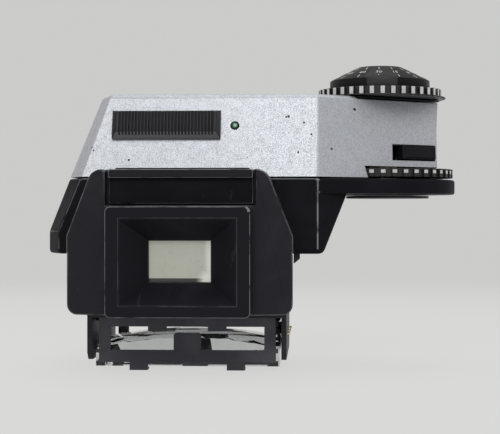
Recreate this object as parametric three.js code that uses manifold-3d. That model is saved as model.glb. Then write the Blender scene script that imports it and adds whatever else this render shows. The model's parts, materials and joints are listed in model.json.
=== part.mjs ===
// A metered prism finder for a 35 mm single-lens reflex camera, as a scene graph of named meshes.
// Millimetres. +Z up along the optical axis of the condenser, -Y towards the eye, +Y towards the
// lens, +X towards the meter arm. The origin is the centre of the condenser's lower face.
import * as THREE from "three";
import { mergeVertices } from "three/addons/utils/BufferGeometryUtils.js";
import Module from "manifold-3d";

const wasm = await Module();
wasm.setup();

// Shared clearances and tool values
const fit = 0.3; // gap between pieces that touch
const over = 2; // how far a cutting shape runs past what it cuts
const fine = 48; // steps round a large circle
const coarse = 16; // steps round a small circle
const snaps = 1e4; // grid steps in a millimetre, so that level faces stay level

// Condenser glass and the sheet-metal frames that hold it
const glassWidth = 39.4;
const glassDepth = 28.4;
const glassApex = 7.1;
const glassCurve = 92; // radius of the convex face
const sheet = 0.8;
const plateWidth = 37.8;
const plateFootZ = 0.9;
const plateTopZ = 13.5;
const gateMargin = 2.45; // from the gate's ends to the plate's ends
const gateWidth = plateWidth - 2 * gateMargin;
const gateLowZ = 3.5;
const gateHighZ = 8.5;
const frontGateLowZ = 1.7; // the front frame is open further down
const postWidth = 5.8;
const postTopZ = 7.2;
const postCorner = 0.6;
const footWidth = 3.9;
const footCentre = 10.4;
const footDrop = 0.8; // below the glass
const footLip = 0.45;
const footReach = 2.4; // how far the lip runs under the glass
const hangWidth = 4;
const hangCentre = 6.4;
const hangLowZ = 7.5;

// Mounting collar with its side rails
const collarHalf = 21.2;
const collarWall = 1.1;
const collarRearY = -16.8;
const collarFrontY = 18.4;
const collarRearWall = 1.2;
const collarFrontWall = 1.2;
const collarFootZ = 10.5;
const collarStepZ = 19.5; // the front wall is thicker below this
const railFootZ = 1.5;
const railTaper = 1.5; // how far the rail's lower corners are cut back
const flangeWidth = 1.9; // how far the flange stands out over the housing's floor
const flangeThick = 1.2;

// Lower housing
const seatZ = 24.2;
const splitZ = 40;
const rearY = -22;
const frontY = 22;
const frontCut = 6; // chamfer of the front corners
const leftBendZ = 28.9; // the left side stands upright below this height
const leftCreaseSeat = 26.4;
const leftCreaseSplit = 21.8;
const leftFarSeat = 29.4;
const leftFarSplit = 25;
const leftDepth = 6; // of the narrow facet at the rear left corner
const creaseX = 27.8;
const rightSeat = 28.9;
const rightSplit = 35.2;
const floorThick = 1.6;
const housingWall = 1.4;
const edgeRound = 0.5;

// Meter arm, all round one upright axis
const axisX = 41.7;
const axisY = 2;
const facetAngle = Math.PI * 0.2; // how far the right rear facet turns from the rear facet
const armRadius = 12.9;
const baseRadius = 16.6;
const baseThick = 3.2;
const underThick = 0.5;
const underRadius = 9.2;
const underShift = 1.7; // from the meter axis to the plate's centre
const wheelRadius = 16.2;
const wheelThick = 1.9;
const wheelTeeth = 41;
const wheelGap = 0.45; // above and below the wheel
const toothDepth = 0.6;
const toothShare = 0.46; // share of a tooth pitch that is raised
const slotGap = 0.3; // between the wheel's rim and the slot in the cover

// Prism
const prismInset = 0.2; // from the glass's rear edge to the prism's rear face
const prismShort = 4.4; // how much shorter the prism's face is than the glass
const prismFace = glassDepth - prismShort;
const prismHalf = 16.4;
const prismRearY = prismInset - glassDepth / 2;
const prismFootZ = 11;
const roofRise = 7; // how far the roof faces fall to the sides
const prismTopZ = prismFootZ + prismFace * Math.SQRT2;

// Top cover
const coverRoom = 12.96; // from the prism's top to the top of the cover
const coverTopZ = prismTopZ + coverRoom;
const coverWall = 1;
const roofThick = 1.4;
const coverLean = 5; // how far the rear leans forwards at the top
const frontLean = 4;
const leftCreaseTop = 16.1;
const leftFarTop = 18.6;
const coverEdge = 0.7;

// Dial stack
const seatRadius = 13.7;
const seatThick = 0.3;
const seatSink = 0.3;
const seatLap = 0.4; // how far the seat plate overhangs the facet
const flangeRadius = 14.6;
const notchCount = 40;
const notchDepth = 0.5;
const flangeHeight = 0.3;
const ringRadius = 13.65;
const ringHeight = 1.7;
const ringTeeth = 37;
const ringBore = 6;
const ringLift = 0.2; // running gap under the ring and under the dome
const domeRadius = 11.1;
const domeTopRadius = 4.9;
const domeRim = 1.8;
const domeCone = 3.1;
const domeWall = 1.6;
const lugWidth = 6.8;
const lugProud = 0.5;
const shaftRadius = 2;
const bushRadius = 3.7;
const bushFlangeRadius = 5.2;
const bushFlange = 1;

// Rear cover with its wings
const wingHalf = 22.8;
const wingLeft = 0.8; // how much further the left wing reaches
const wingStep = 0.1;
const wingFootZ = 11.95;
const wingTopZ = 41.6;
const wingWaistZ = 28;
const shoulderX = 17.4;
const wingCorner = 2.1;
const shoulderCorner = 3;
const wingInner = 15.3;
const wingRearY = -31;
const wingSlope = 2.2;
const wingFrontY = -22.3; // meets the housing above the seat
const wingBackY = -27.6; // inside face of the wings below the seat
const wingWall = 1.3;

// Eyepiece
const eyeZ = 22.95;
const rimWidth = 28.9;
const rimHeight = 22.1;
const rimCorner = 1.1;
const rimDepth = 6;
const recessWidth = 23.5;
const recessHeight = 17.4;
const recessDepth = 5.2;
const windowWidth = 12.5;
const windowHeight = 8.3;
const paneThick = 1;
const paneLap = 1.2; // how far the pane runs behind the frame
const tunnelWidth = 24.4;
const tunnelHeight = 19;
const tunnelWall = 1.4;
const lensRadius = 7.2;
const lensEdge = 1.8;
const lensBulge = 1.1;
const lensY = -21.6;
const cellThick = 2.6;

// Panel above the eyepiece
const panelHalf = 14.7;
const panelThick = 1.2;
const lipHeight = 1.8;
const lipProud = 1.1;
const panelSink = 1.4; // the panel lies this far in front of the wings' rear face
const backHalf = 13.9;
const backThick = 1.4;
const backTopZ = 42;

// Cradle of the prism
const shelfThick = 1;
const shelfGate = 2.6; // width of the shelf's ledge under the prism
const strapWidth = 6;
const strapThick = 0.8;
const cellRadius = 2.4;
const cellLength = 2;
const cellX = 14.9;
const strapY = 5;
const strapFoot = 3.4;

// Battery, its cover and the indicator
const lidX = -4;
const lidDrop = 6.8; // from the cover's top to the middle of the lid
const lidZ = coverTopZ - lidDrop;
const lidWidth = 22.9;
const lidHeight = 6.2;
const lidProud = 1.5;
const lidBevel = 0.55;
const lidSkirt = 0.45;
const ribCount = 29;
const ribDepth = 0.45;
const ribShare = 0.5;
const ribMargin = 0.8;
const lidTravel = 3.5;
const lidPlug = 1.4;
const portMargin = 1; // from the port's ends to the lid's ends
const batteryRadius = 7.6;
const batteryThick = 4.4;
const holderWall = 0.9;
const contactThick = 0.35;
const lampX = 10.4;
const lampRadius = 0.5;
const lampProud = 0.3;
const lampDepth = 3;
const bezelWall = 0.2;

// Meter switch on the right rear facet
const switchLength = 9.6;
const switchTravel = 2;
const switchHeight = 3.1;
const switchRise = 5.9; // above the seam of the cover
const switchZ = splitZ + switchRise;
const switchFromEnd = 0.8; // from the end of the facet
const switchProud = 0.9;
const switchDepth = 1.6;
const switchPlate = 0.5;
const switchRidge = 0.35;

// Contacts, catch and fixings
const pinRadius = 0.32;
const pinLength = 2.9;
const pinProud = 0.8;
const pinPitch = 8.5;
const pinCount = 3;
const pinY = -5.6;
const pinZ = 7;
const blockHeight = 2.4;
const blockThick = 0.6;
const blockMargin = 1.8; // past the outer pins
const catchWidth = 1.3;
const catchDrop = 2.1;
const catchDepth = 2.8;
const catchHead = 0.8;
const catchX = 23.4;
const catchY = -18.8;
const catchTravel = 0.6;
const screwRadius = 0.9;
const screwHead = 1.7;
const screwHeadThick = 0.9;
const screwX = 22.8;
const screwY = 11.6;

// Meter works inside
const movementRadius = 5.4;
const movementHeight = 7;
const movementX = 21;
const movementY = 8;
const needleLength = 9;
const needleWidth = 0.8;
const needleThick = 0.4;
const boardThick = 1.2;
const discRadius = 6.2;
const discThick = 1;
const wiperThick = 0.8;
const wiperWidth = 2.4;
const wiperReach = 5.6;
const plateX = 13;
const plateHeight = 9;
const plateThick = 1;

const finish = {
  black: { color: 0x1d1d21, roughness: 0.55, metalness: 0.1 },
  blackMetal: { color: 0x141417, roughness: 0.5, metalness: 0.4 },
  silver: { color: 0xc2c4c9, roughness: 0.45, metalness: 0.3 },
  bright: { color: 0xc8c8c8, roughness: 0.3, metalness: 0.9 },
  glass: { color: 0xdfe6da, roughness: 0.05, metalness: 0 },
  brass: { color: 0xb08d4a, roughness: 0.35, metalness: 0.9 },
  board: { color: 0x6a4a24, roughness: 0.6, metalness: 0 },
  green: { color: 0x2f7d47, roughness: 0.3, metalness: 0 },
};

// A closed three.js geometry as a manifold solid.
function solid(geometry) {
  const plain = geometry.index ? geometry.toNonIndexed() : geometry.clone();
  plain.deleteAttribute("normal");
  plain.deleteAttribute("uv");
  const merged = mergeVertices(plain, 1e-4);
  const vertProperties = merged.attributes.position.array.map((v) => Math.round(v * snaps) / snaps);
  const triVerts = new Uint32Array(merged.index.array);
  const made = new wasm.Manifold(new wasm.Mesh({ numProp: 3, vertProperties, triVerts }));
  if (made.volume() > 0) return made;
  return new wasm.Manifold(new wasm.Mesh({ numProp: 3, vertProperties, triVerts: triVerts.reverse() }));
}

// A manifold solid back as a three.js geometry.
function geometryOf(made) {
  const mesh = made.getMesh();
  const geometry = new THREE.BufferGeometry();
  geometry.setAttribute("position", new THREE.BufferAttribute(mesh.vertProperties, 3));
  geometry.setIndex(new THREE.BufferAttribute(mesh.triVerts, 1));
  geometry.computeVertexNormals();
  return geometry;
}

function box(x0, x1, y0, y1, z0, z1) {
  const geometry = new THREE.BoxGeometry(x1 - x0, y1 - y0, z1 - z0);
  return solid(geometry.translate((x0 + x1) / 2, (y0 + y1) / 2, (z0 + z1) / 2));
}

// A box whose width is centred on x.
function slab(width, y0, y1, z0, z1, x = 0) {
  return box(x - width / 2, x + width / 2, y0, y1, z0, z1);
}

function extrusion(points, height) {
  const shape = new THREE.Shape(points.map(([a, b]) => new THREE.Vector2(a, b)));
  return new THREE.ExtrudeGeometry(shape, { depth: height, bevelEnabled: false });
}

// A plan outline of X and Y raised from z0 to z1.
function raised(points, z0, z1) {
  return solid(extrusion(points, z1 - z0).translate(0, 0, z0));
}

// A rear-view outline of X and Z run forwards from y0 to y1.
function run(points, y0, y1) {
  return solid(extrusion(points, y1 - y0).rotateX(Math.PI / 2).translate(0, y1, 0));
}

// A side-view outline of Y and Z run across from x0 to x1.
function across(points, x0, x1) {
  const geometry = extrusion(points, x1 - x0).rotateY(Math.PI / 2).rotateX(Math.PI / 2);
  return solid(geometry.translate(x0, 0, 0));
}

// An upright round bar on the meter axis, unless a place is given.
function disc(radius, z0, z1, steps = fine, x = axisX, y = axisY) {
  const geometry = new THREE.CylinderGeometry(radius, radius, z1 - z0, steps);
  return solid(geometry.rotateX(Math.PI / 2).translate(x, y, (z0 + z1) / 2));
}

// A round bar along Y.
function barY(radius, y0, y1, x, z, steps = fine) {
  const geometry = new THREE.CylinderGeometry(radius, radius, y1 - y0, steps);
  return solid(geometry.translate(x, (y0 + y1) / 2, z));
}

// A round bar along X.
function barX(radius, x0, x1, y, z) {
  const geometry = new THREE.CylinderGeometry(radius, radius, x1 - x0, coarse);
  return solid(geometry.rotateZ(Math.PI / 2).translate((x0 + x1) / 2, y, z));
}

// A profile of radius and height turned about an upright axis.
function turned(profile, x = axisX, y = axisY) {
  const points = profile.map(([r, z]) => new THREE.Vector2(r, z));
  return solid(new THREE.LatheGeometry(points, fine).rotateX(Math.PI / 2).translate(x, y, 0));
}

// A closed surface through several outlines with the same count of points.
function lofted(levels) {
  const count = levels[0].points.length;
  const position = levels.flatMap(({ z, points }) => points.flatMap(([x, y]) => [x, y, z]));
  const index = [];
  for (let k = 0; k < levels.length - 1; k++)
    for (let i = 0; i < count; i++) {
      const j = (i + 1) % count;
      const [a, b] = [k * count + i, k * count + j];
      index.push(a, b, b + count, a, b + count, a + count);
    }
  const cap = (level) => {
    const flat = levels[level].points.map(([x, y]) => new THREE.Vector2(x, y));
    return THREE.ShapeUtils.triangulateShape(flat, []);
  };
  const last = (levels.length - 1) * count;
  for (const [a, b, c] of cap(0)) index.push(c, b, a);
  for (const [a, b, c] of cap(levels.length - 1)) index.push(last + a, last + b, last + c);
  const geometry = new THREE.BufferGeometry();
  geometry.setAttribute("position", new THREE.Float32BufferAttribute(position, 3));
  geometry.setIndex(index);
  return geometry;
}

// An anticlockwise outline drawn in by a distance.
function inset(points, distance) {
  const count = points.length;
  const lines = points.map(([x, y], i) => {
    const [u, v] = points[(i + 1) % count];
    const length = Math.hypot(u - x, v - y);
    const [nx, ny] = [-(v - y) / length, (u - x) / length];
    return { nx, ny, c: nx * x + ny * y + distance };
  });
  return points.map((_, i) => {
    const [p, q] = [lines[(i + count - 1) % count], lines[i]];
    const cross = p.nx * q.ny - p.ny * q.nx;
    return [(p.c * q.ny - q.c * p.ny) / cross, (p.nx * q.c - q.nx * p.c) / cross];
  });
}

function unit(x, y) {
  const length = Math.hypot(x, y);
  return [x / length, y / length];
}

// Corners as [a, b, radius], anticlockwise, with each radius turned into an arc.
function rounded(corners, steps = 5) {
  const count = corners.length;
  return corners.flatMap(([a, b, radius], i) => {
    if (!radius) return [[a, b]];
    const before = corners[(i + count - 1) % count];
    const after = corners[(i + 1) % count];
    const back = unit(before[0] - a, before[1] - b);
    const on = unit(after[0] - a, after[1] - b);
    const half = Math.acos(back[0] * on[0] + back[1] * on[1]) / 2;
    const reach = radius / Math.tan(half);
    const middle = unit(back[0] + on[0], back[1] + on[1]);
    const centre = [0, 1].map((k) => [a, b][k] + (middle[k] * radius) / Math.sin(half));
    const start = [0, 1].map((k) => [a, b][k] + back[k] * reach - centre[k]);
    const from = Math.atan2(start[1], start[0]);
    const sweep = Math.PI - 2 * half;
    return Array.from({ length: steps + 1 }, (_, k) => {
      const angle = from + (sweep * k) / steps;
      return [centre[0] + radius * Math.cos(angle), centre[1] + radius * Math.sin(angle)];
    });
  });
}

function rectangle(width, height, a = 0, b = 0, radius = 0) {
  const [w, h] = [width / 2, height / 2];
  return rounded([
    [a - w, b - h, radius],
    [a + w, b - h, radius],
    [a + w, b + h, radius],
    [a - w, b + h, radius],
  ]);
}

function circle(radius, steps = coarse) {
  return Array.from({ length: steps }, (_, k) => {
    const angle = (2 * Math.PI * k) / steps;
    return [radius * Math.cos(angle), radius * Math.sin(angle)];
  });
}

function cutAll(made, cuts) {
  return cuts.reduce((left, cut) => left.subtract(cut), made);
}

const group = new THREE.Group();

function add(name, made, look) {
  const mesh = new THREE.Mesh(geometryOf(made), new THREE.MeshStandardMaterial(finish[look]));
  mesh.name = name;
  group.add(mesh);
}

// Where the right rear facet of a plan that starts at a depth meets a circle on the meter axis.
function facetMeets(depth, radius) {
  const [ux, uy] = [Math.cos(facetAngle), Math.sin(facetAngle)];
  const [dx, dy] = [creaseX - axisX, depth - axisY];
  const along = dx * ux + dy * uy;
  const reach = -along + Math.sqrt(along * along - dx * dx - dy * dy + radius * radius);
  return [creaseX + ux * reach, depth + uy * reach];
}

// An arc on the meter axis from a point round to the front.
function armArc(from, radius, steps = 12) {
  const start = Math.atan2(from[1] - axisY, from[0] - axisX);
  return Array.from({ length: steps + 1 }, (_, k) => {
    const angle = start + ((Math.PI / 2 - start) * k) / steps;
    return [axisX + radius * Math.cos(angle), axisY + radius * Math.sin(angle)];
  });
}

// The cover's plan at a share of its height, 0 at the split and 1 at the top.
function coverPlan(share) {
  const rear = rearY + coverLean * share;
  const front = frontY - frontLean * share;
  const crease = leftCreaseSplit + (leftCreaseTop - leftCreaseSplit) * share;
  const far = leftFarSplit + (leftFarTop - leftFarSplit) * share;
  return [
    [-crease, rear],
    [creaseX, rear],
    ...armArc(facetMeets(rear, armRadius), armRadius),
    [creaseX + frontCut, axisY + armRadius],
    [creaseX + axisY + armRadius + frontCut - front, front],
    [-far + frontCut, front],
    [-far, front - frontCut],
    [-far, rear + leftDepth],
  ];
}

function coverShare(z) {
  return (z - splitZ) / (coverTopZ - splitZ);
}

function coverForm(distance, z0, z1) {
  return solid(lofted([z0, z1].map((z) => ({ z, points: inset(coverPlan(coverShare(z)), distance) }))));
}

// The lower housing's plan at a height: its right side slopes all the way, its left one above the bend.
function lowerPlan(z) {
  const share = (z - seatZ) / (splitZ - seatZ);
  const leftShare = Math.max(0, (z - leftBendZ) / (splitZ - leftBendZ));
  const crease = leftCreaseSeat + (leftCreaseSplit - leftCreaseSeat) * leftShare;
  const far = leftFarSeat + (leftFarSplit - leftFarSeat) * leftShare;
  const right = rightSeat + (rightSplit - rightSeat) * share;
  return [
    [-crease, rearY],
    [creaseX, rearY],
    [right, rearY + (right - creaseX) * Math.tan(facetAngle)],
    [right, frontY - frontCut],
    [right - frontCut, frontY],
    [-far + frontCut, frontY],
    [-far, frontY - frontCut],
    [-far, rearY + leftDepth],
  ];
}

function lowerForm(distance, heights) {
  return solid(lofted(heights.map((z) => ({ z, points: inset(lowerPlan(z), distance) }))));
}

// Directions of the two rear facets: across, up the slope and outwards.
const rise = new THREE.Vector3(0, coverLean, coverTopZ - splitZ).normalize();

function slopeFrame(acrossAxis, x, z) {
  const out = new THREE.Vector3().crossVectors(acrossAxis, rise).normalize();
  const line = rearY + coverLean * coverShare(z);
  const y = line + ((x - creaseX) * acrossAxis.y) / acrossAxis.x;
  return new THREE.Matrix4().makeBasis(acrossAxis, rise, out).setPosition(x, y, z);
}

const rearAcross = new THREE.Vector3(1, 0, 0);
const facetAcross = new THREE.Vector3(Math.cos(facetAngle), Math.sin(facetAngle), 0);

// An outline on a facet, run from one height above the facet to another.
function onFacet(frame, points, low, high) {
  return solid(extrusion(points, high - low).translate(0, 0, low).applyMatrix4(frame));
}

// A tapered block on a facet.
function onFacetTapered(frame, width, height, low, high, taper) {
  const levels = [
    { z: low, points: rectangle(width, height) },
    { z: high, points: rectangle(width - 2 * taper, height - 2 * taper) },
  ];
  return solid(lofted(levels).applyMatrix4(frame));
}

// Plano-convex condenser glass, flat side down.
function condenser() {
  const half = Math.hypot(glassWidth, glassDepth) / 2 + over;
  const steps = 9;
  const arc = Array.from({ length: steps + 1 }, (_, k) => {
    const r = (half * (steps - k)) / steps;
    return [r, glassApex - glassCurve + Math.sqrt(glassCurve * glassCurve - r * r)];
  });
  const dome = turned([[0, 0], [half, 0], ...arc], 0, 0);
  return dome.intersect(slab(glassWidth, -glassDepth / 2, glassDepth / 2, -over, glassApex + over));
}

// One sheet frame of the condenser: side is -1 at the rear and 1 at the front.
function condenserFrame(side) {
  const near = glassDepth / 2 + fit;
  const span = (a, b) => (side < 0 ? [-b, -a] : [a, b]);
  const [y0, y1] = span(near, near + sheet);
  const plate = slab(plateWidth, y0, y1, plateFootZ, plateTopZ);
  const lowZ = side < 0 ? gateLowZ : frontGateLowZ;
  const gate = slab(gateWidth, y0 - over, y1 + over, lowZ, gateHighZ);
  const postOutline = rounded([
    [-postWidth / 2, plateFootZ, 0],
    [postWidth / 2, plateFootZ, 0],
    [postWidth / 2, postTopZ, postCorner],
    [-postWidth / 2, postTopZ, postCorner],
  ]);
  let made = plate.subtract(gate).add(run(postOutline, y0, y1));
  for (const x of [-hangCentre, hangCentre])
    made = made.add(slab(hangWidth, y0, y1, hangLowZ, plateTopZ, x));
  for (const x of [-footCentre, footCentre]) {
    const [lip0, lip1] = span(near - footReach, near + sheet);
    made = made.add(slab(footWidth, y0, y1, -footDrop, plateFootZ + sheet, x));
    made = made.add(slab(footWidth, lip0, lip1, -footDrop, -footDrop + footLip, x));
  }
  return made;
}

// The collar that drops into the camera, with its side rails and a flange on the housing's floor.
const flangeLowZ = seatZ + floorThick + fit;
const floorGate = { half: collarHalf + fit, rear: collarRearY - fit, front: collarFrontY + fit };
const tunnelLowZ = eyeZ - tunnelHeight / 2;
const tunnelHighZ = eyeZ + tunnelHeight / 2;
const screwPlaces = [-screwX, screwX].flatMap((x) => [-screwY, screwY].map((y) => [x, y]));

// Where contact pin k stands along Y.
function pinPlace(k) {
  return pinY + (k - (pinCount - 1) / 2) * pinPitch;
}

function mountCollar() {
  const topZ = flangeLowZ + flangeThick;
  const outer = box(-collarHalf, collarHalf, collarRearY, collarFrontY, collarFootZ, topZ);
  const flange = box(
    -collarHalf - flangeWidth - screwHead, collarHalf + flangeWidth + screwHead,
    collarRearY, collarFrontY, flangeLowZ, topZ,
  );
  const railEnds = [
    [collarRearY + railTaper, railFootZ],
    [collarFrontY - railTaper, railFootZ],
    [collarFrontY, railFootZ + railTaper],
    [collarFrontY, collarFootZ + collarWall],
    [collarRearY, collarFootZ + collarWall],
    [collarRearY, railFootZ + railTaper],
  ];
  const rails = across(railEnds, -collarHalf, collarHalf);
  const inner = collarHalf - collarWall;
  const lowFront = glassDepth / 2 + fit + sheet + fit;
  const cavity = box(
    -inner, inner, collarRearY + collarRearWall, lowFront,
    railFootZ - over, topZ + over,
  );
  const highCavity = box(
    -inner, inner, collarRearY + collarRearWall, collarFrontY - collarFrontWall,
    collarStepZ, topZ + over,
  );
  const between = box(
    -inner, inner, collarRearY - over, collarFrontY + over,
    railFootZ - over, collarFootZ,
  );
  const port = slab(
    tunnelWidth - 2 * tunnelWall, collarRearY - over, collarRearY + collarRearWall + over,
    tunnelLowZ + tunnelWall, topZ + over,
  );
  const holes = screwPlaces.map(([x, y]) =>
    disc(screwRadius + fit, flangeLowZ - over, topZ + over, coarse, x, y));
  const pins = Array.from({ length: pinCount }, (_, k) =>
    barX(pinRadius + fit, inner - over, collarHalf + over, pinPlace(k), pinZ));
  return cutAll(outer.add(flange).add(rails), [cavity, highCavity, between, port, ...holes, ...pins]);
}

// The black lower housing with the arm's round base.
function armBase() {
  const toAxis = Math.hypot(axisX - creaseX, axisY - rearY);
  const heading = Math.atan2(axisY - rearY, axisX - creaseX) - Math.asin(baseRadius / toAxis);
  const reach = Math.sqrt(toAxis * toAxis - baseRadius * baseRadius);
  const touch = [creaseX + reach * Math.cos(heading), rearY + reach * Math.sin(heading)];
  const plan = [[creaseX, rearY], ...armArc(touch, baseRadius, 20), [creaseX, axisY + baseRadius]];
  return raised(plan, splitZ - baseThick, splitZ);
}

const shaftLowZ = splitZ - baseThick + fit;

function lowerHousing() {
  const heights = [seatZ + edgeRound, leftBendZ, splitZ];
  const chamfer = lofted([
    { z: seatZ, points: inset(lowerPlan(seatZ), edgeRound) },
    { z: seatZ + edgeRound, points: lowerPlan(seatZ + edgeRound) },
  ]);
  const outer = lowerForm(0, heights).add(solid(chamfer)).add(armBase());
  const cavity = lowerForm(housingWall, [seatZ + floorThick, leftBendZ, splitZ + over]);
  const gate = box(
    -floorGate.half, floorGate.half, floorGate.rear, floorGate.front,
    seatZ - over, seatZ + floorThick + over,
  );
  const tunnel = slab(
    tunnelWidth + 2 * fit, rearY - over, rearY + housingWall + over,
    seatZ - over, tunnelHighZ + fit,
  );
  const rearSlot = slab(
    tunnelWidth + 2 * fit, rearY - over, floorGate.rear + over,
    seatZ - over, seatZ + floorThick + over,
  );
  const holes = screwPlaces.map(([x, y]) =>
    disc(screwRadius + fit, seatZ - over, seatZ + floorThick + over, coarse, x, y));
  const bushHole = disc(bushRadius + fit, shaftLowZ - over - fit, splitZ + over);
  const bushSeat = disc(bushFlangeRadius + fit, splitZ - baseThick - over, splitZ - baseThick + bushFlange + fit);
  const catchSlot = box(
    catchX - catchWidth / 2 - catchTravel - fit, catchX + catchWidth / 2 + fit,
    catchY - catchDepth / 2 - fit, catchY + catchDepth / 2 + fit,
    seatZ - over, seatZ + floorThick + over,
  );
  return cutAll(outer, [cavity, gate, tunnel, rearSlot, bushHole, bushSeat, catchSlot, ...holes]);
}

// The silver top cover.
const wheelLowZ = splitZ + wheelGap;
const wheelTopZ = wheelLowZ + wheelThick;
const slotTopZ = wheelTopZ + wheelGap;
const seatLowZ = coverTopZ - seatSink;
const lidFrame = slopeFrame(rearAcross, lidX, lidZ);
const lampFrame = slopeFrame(rearAcross, lampX, lidZ);
const facetEnd = facetMeets(rearY + coverLean * coverShare(switchZ), armRadius);
const switchX = facetEnd[0] - (switchFromEnd + switchLength / 2) * Math.cos(facetAngle);
const switchFrame = slopeFrame(facetAcross, switchX, switchZ);
const port = { width: lidWidth - 2 * portMargin, height: lidHeight - 2 * lidBevel };

function topCover() {
  const lowZ = splitZ + fit;
  const share = (z) => coverPlan(coverShare(z));
  const outer = solid(lofted([
    { z: lowZ, points: share(lowZ) },
    { z: coverTopZ - coverEdge, points: share(coverTopZ - coverEdge) },
    { z: coverTopZ, points: inset(share(coverTopZ), coverEdge) },
  ]));
  const cavity = coverForm(coverWall, splitZ - over, coverTopZ - roofThick);
  const wheelSlot = disc(wheelRadius + slotGap, splitZ - over, slotTopZ);
  const dialSeat = disc(seatRadius + fit, seatLowZ - fit, coverTopZ + over);
  const bore = disc(bushRadius + fit, seatLowZ - over, coverTopZ + over);
  const batteryPort = onFacet(
    lidFrame, rectangle(port.width, port.height), -over - coverWall, over);
  const lampHole = onFacet(lampFrame, circle(lampRadius + bezelWall + 2 * fit), -over - coverWall, over);
  const switchWidth = switchLength + switchTravel + 2 * fit;
  const switchSlot = onFacet(
    switchFrame, rectangle(switchWidth, switchHeight + 2 * fit, -switchTravel / 2, 0),
    -over - coverWall, over);
  return cutAll(outer, [cavity, wheelSlot, dialSeat, bore, batteryPort, lampHole, switchSlot]);
}

// A toothed rim on the meter axis.
function toothed(radius, depth, teeth, share, z0, z1) {
  const pitch = (2 * Math.PI) / teeth;
  const half = (share * pitch) / 2;
  const points = Array.from({ length: teeth }, (_, k) => {
    const middle = k * pitch - Math.PI / 2;
    const steps = [
      [radius - depth, middle - half],
      [radius, middle - half],
      [radius, middle + half],
      [radius - depth, middle + half],
    ];
    return steps.map(([r, angle]) => [axisX + r * Math.cos(angle), axisY + r * Math.sin(angle)]);
  });
  return raised(points.flat(), z0, z1);
}

function scaleWheel() {
  const rim = toothed(wheelRadius, toothDepth, wheelTeeth, toothShare, wheelLowZ, wheelTopZ);
  return rim.subtract(disc(bushRadius + fit, wheelLowZ - over, wheelTopZ + over));
}

const discLowZ = slotTopZ + fit;
const discTopZ = discLowZ + discThick;
const bushLowZ = splitZ - baseThick;
const plateLowZ = coverTopZ - seatSink;
const plateTopRim = plateLowZ + seatThick;
const ringLowZ = plateTopRim + ringLift;
const ringMidZ = ringLowZ + flangeHeight;
const ringTopZ = ringMidZ + ringHeight;
const domeLowZ = ringTopZ + ringLift;
const coneLowZ = domeLowZ + domeRim;
const domeTopZ = coneLowZ + domeCone;
const shaftTopZ = coneLowZ;

// A flanged tube round the shaft; the flange is at its foot.
function bush(lowZ, topZ, flange) {
  const inner = shaftRadius + fit;
  return turned([
    [inner, lowZ],
    [bushFlangeRadius, lowZ],
    [bushFlangeRadius, lowZ + flange],
    [bushRadius, lowZ + flange],
    [bushRadius, topZ],
    [inner, topZ],
    [inner, lowZ],
  ]);
}

function ringOn(inner, outer, z0, z1) {
  return disc(outer, z0, z1).subtract(disc(inner, z0 - over, z1 + over));
}

function dialSeatPlate() {
  const plate = ringOn(bushRadius + fit, seatRadius, plateLowZ, plateTopRim);
  return plate.intersect(raised(inset(coverPlan(1), -seatLap), plateLowZ - over, plateTopRim + over));
}

function knurledRing() {
  const flange = toothed(flangeRadius, notchDepth, notchCount, 1 - toothShare, ringLowZ, ringMidZ);
  const rim = toothed(ringRadius, toothDepth, ringTeeth, toothShare, ringMidZ, ringTopZ);
  return flange.add(rim).subtract(disc(ringBore, ringLowZ - over, ringTopZ + over));
}

function domeDial() {
  const hub = ringBore - fit;
  const inner = domeRadius - domeWall;
  const body = turned([
    [0, ringLowZ],
    [hub, ringLowZ],
    [hub, coneLowZ],
    [inner, coneLowZ],
    [inner, domeLowZ],
    [domeRadius, domeLowZ],
    [domeRadius, coneLowZ],
    [domeTopRadius, domeTopZ],
    [0, domeTopZ],
  ]);
  const lugTop = coneLowZ + domeRim / 2;
  const proud = turned([
    [inner, domeLowZ],
    [domeRadius + lugProud, domeLowZ],
    [domeRadius + lugProud, coneLowZ],
    [domeRadius - domeRim, lugTop],
    [inner - over, lugTop],
    [inner - over, coneLowZ],
    [inner, coneLowZ],
    [inner, domeLowZ],
  ]);
  const sector = slab(
    lugWidth, axisY - domeRadius - over, axisY - domeTopRadius,
    domeLowZ - over, domeTopZ, axisX,
  );
  const socket = disc(shaftRadius + fit, ringLowZ - over, shaftTopZ + fit);
  return body.add(proud.intersect(sector)).subtract(socket);
}

function wiperArm() {
  const lowZ = discTopZ + fit;
  const arm = box(
    axisX, axisX + wiperReach, axisY - wiperWidth / 2, axisY + wiperWidth / 2,
    lowZ, lowZ + wiperThick,
  );
  const hub = disc(bushRadius, lowZ, lowZ + wiperThick);
  return hub.add(arm).subtract(disc(shaftRadius + fit, lowZ - over, lowZ + over));
}

// Outline of the rear cover as the eye sees it.
function wingOutline() {
  const low = wingHalf - wingStep;
  const right = [
    [low, wingFootZ, wingCorner],
    [low, seatZ, 0],
    [wingHalf, seatZ, 0],
    [wingHalf, wingWaistZ, wingCorner],
    [shoulderX, wingTopZ, shoulderCorner],
  ];
  const left = right.map(([x, z, r]) => [-x - wingLeft, z, r]).reverse();
  return rounded([...right, ...left]);
}

const rimTopZ = eyeZ + rimHeight / 2;
const panelY = wingRearY + panelSink;
const paneY = wingRearY;
const backY = panelY + panelThick + 2 * fit + wingWall;

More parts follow.
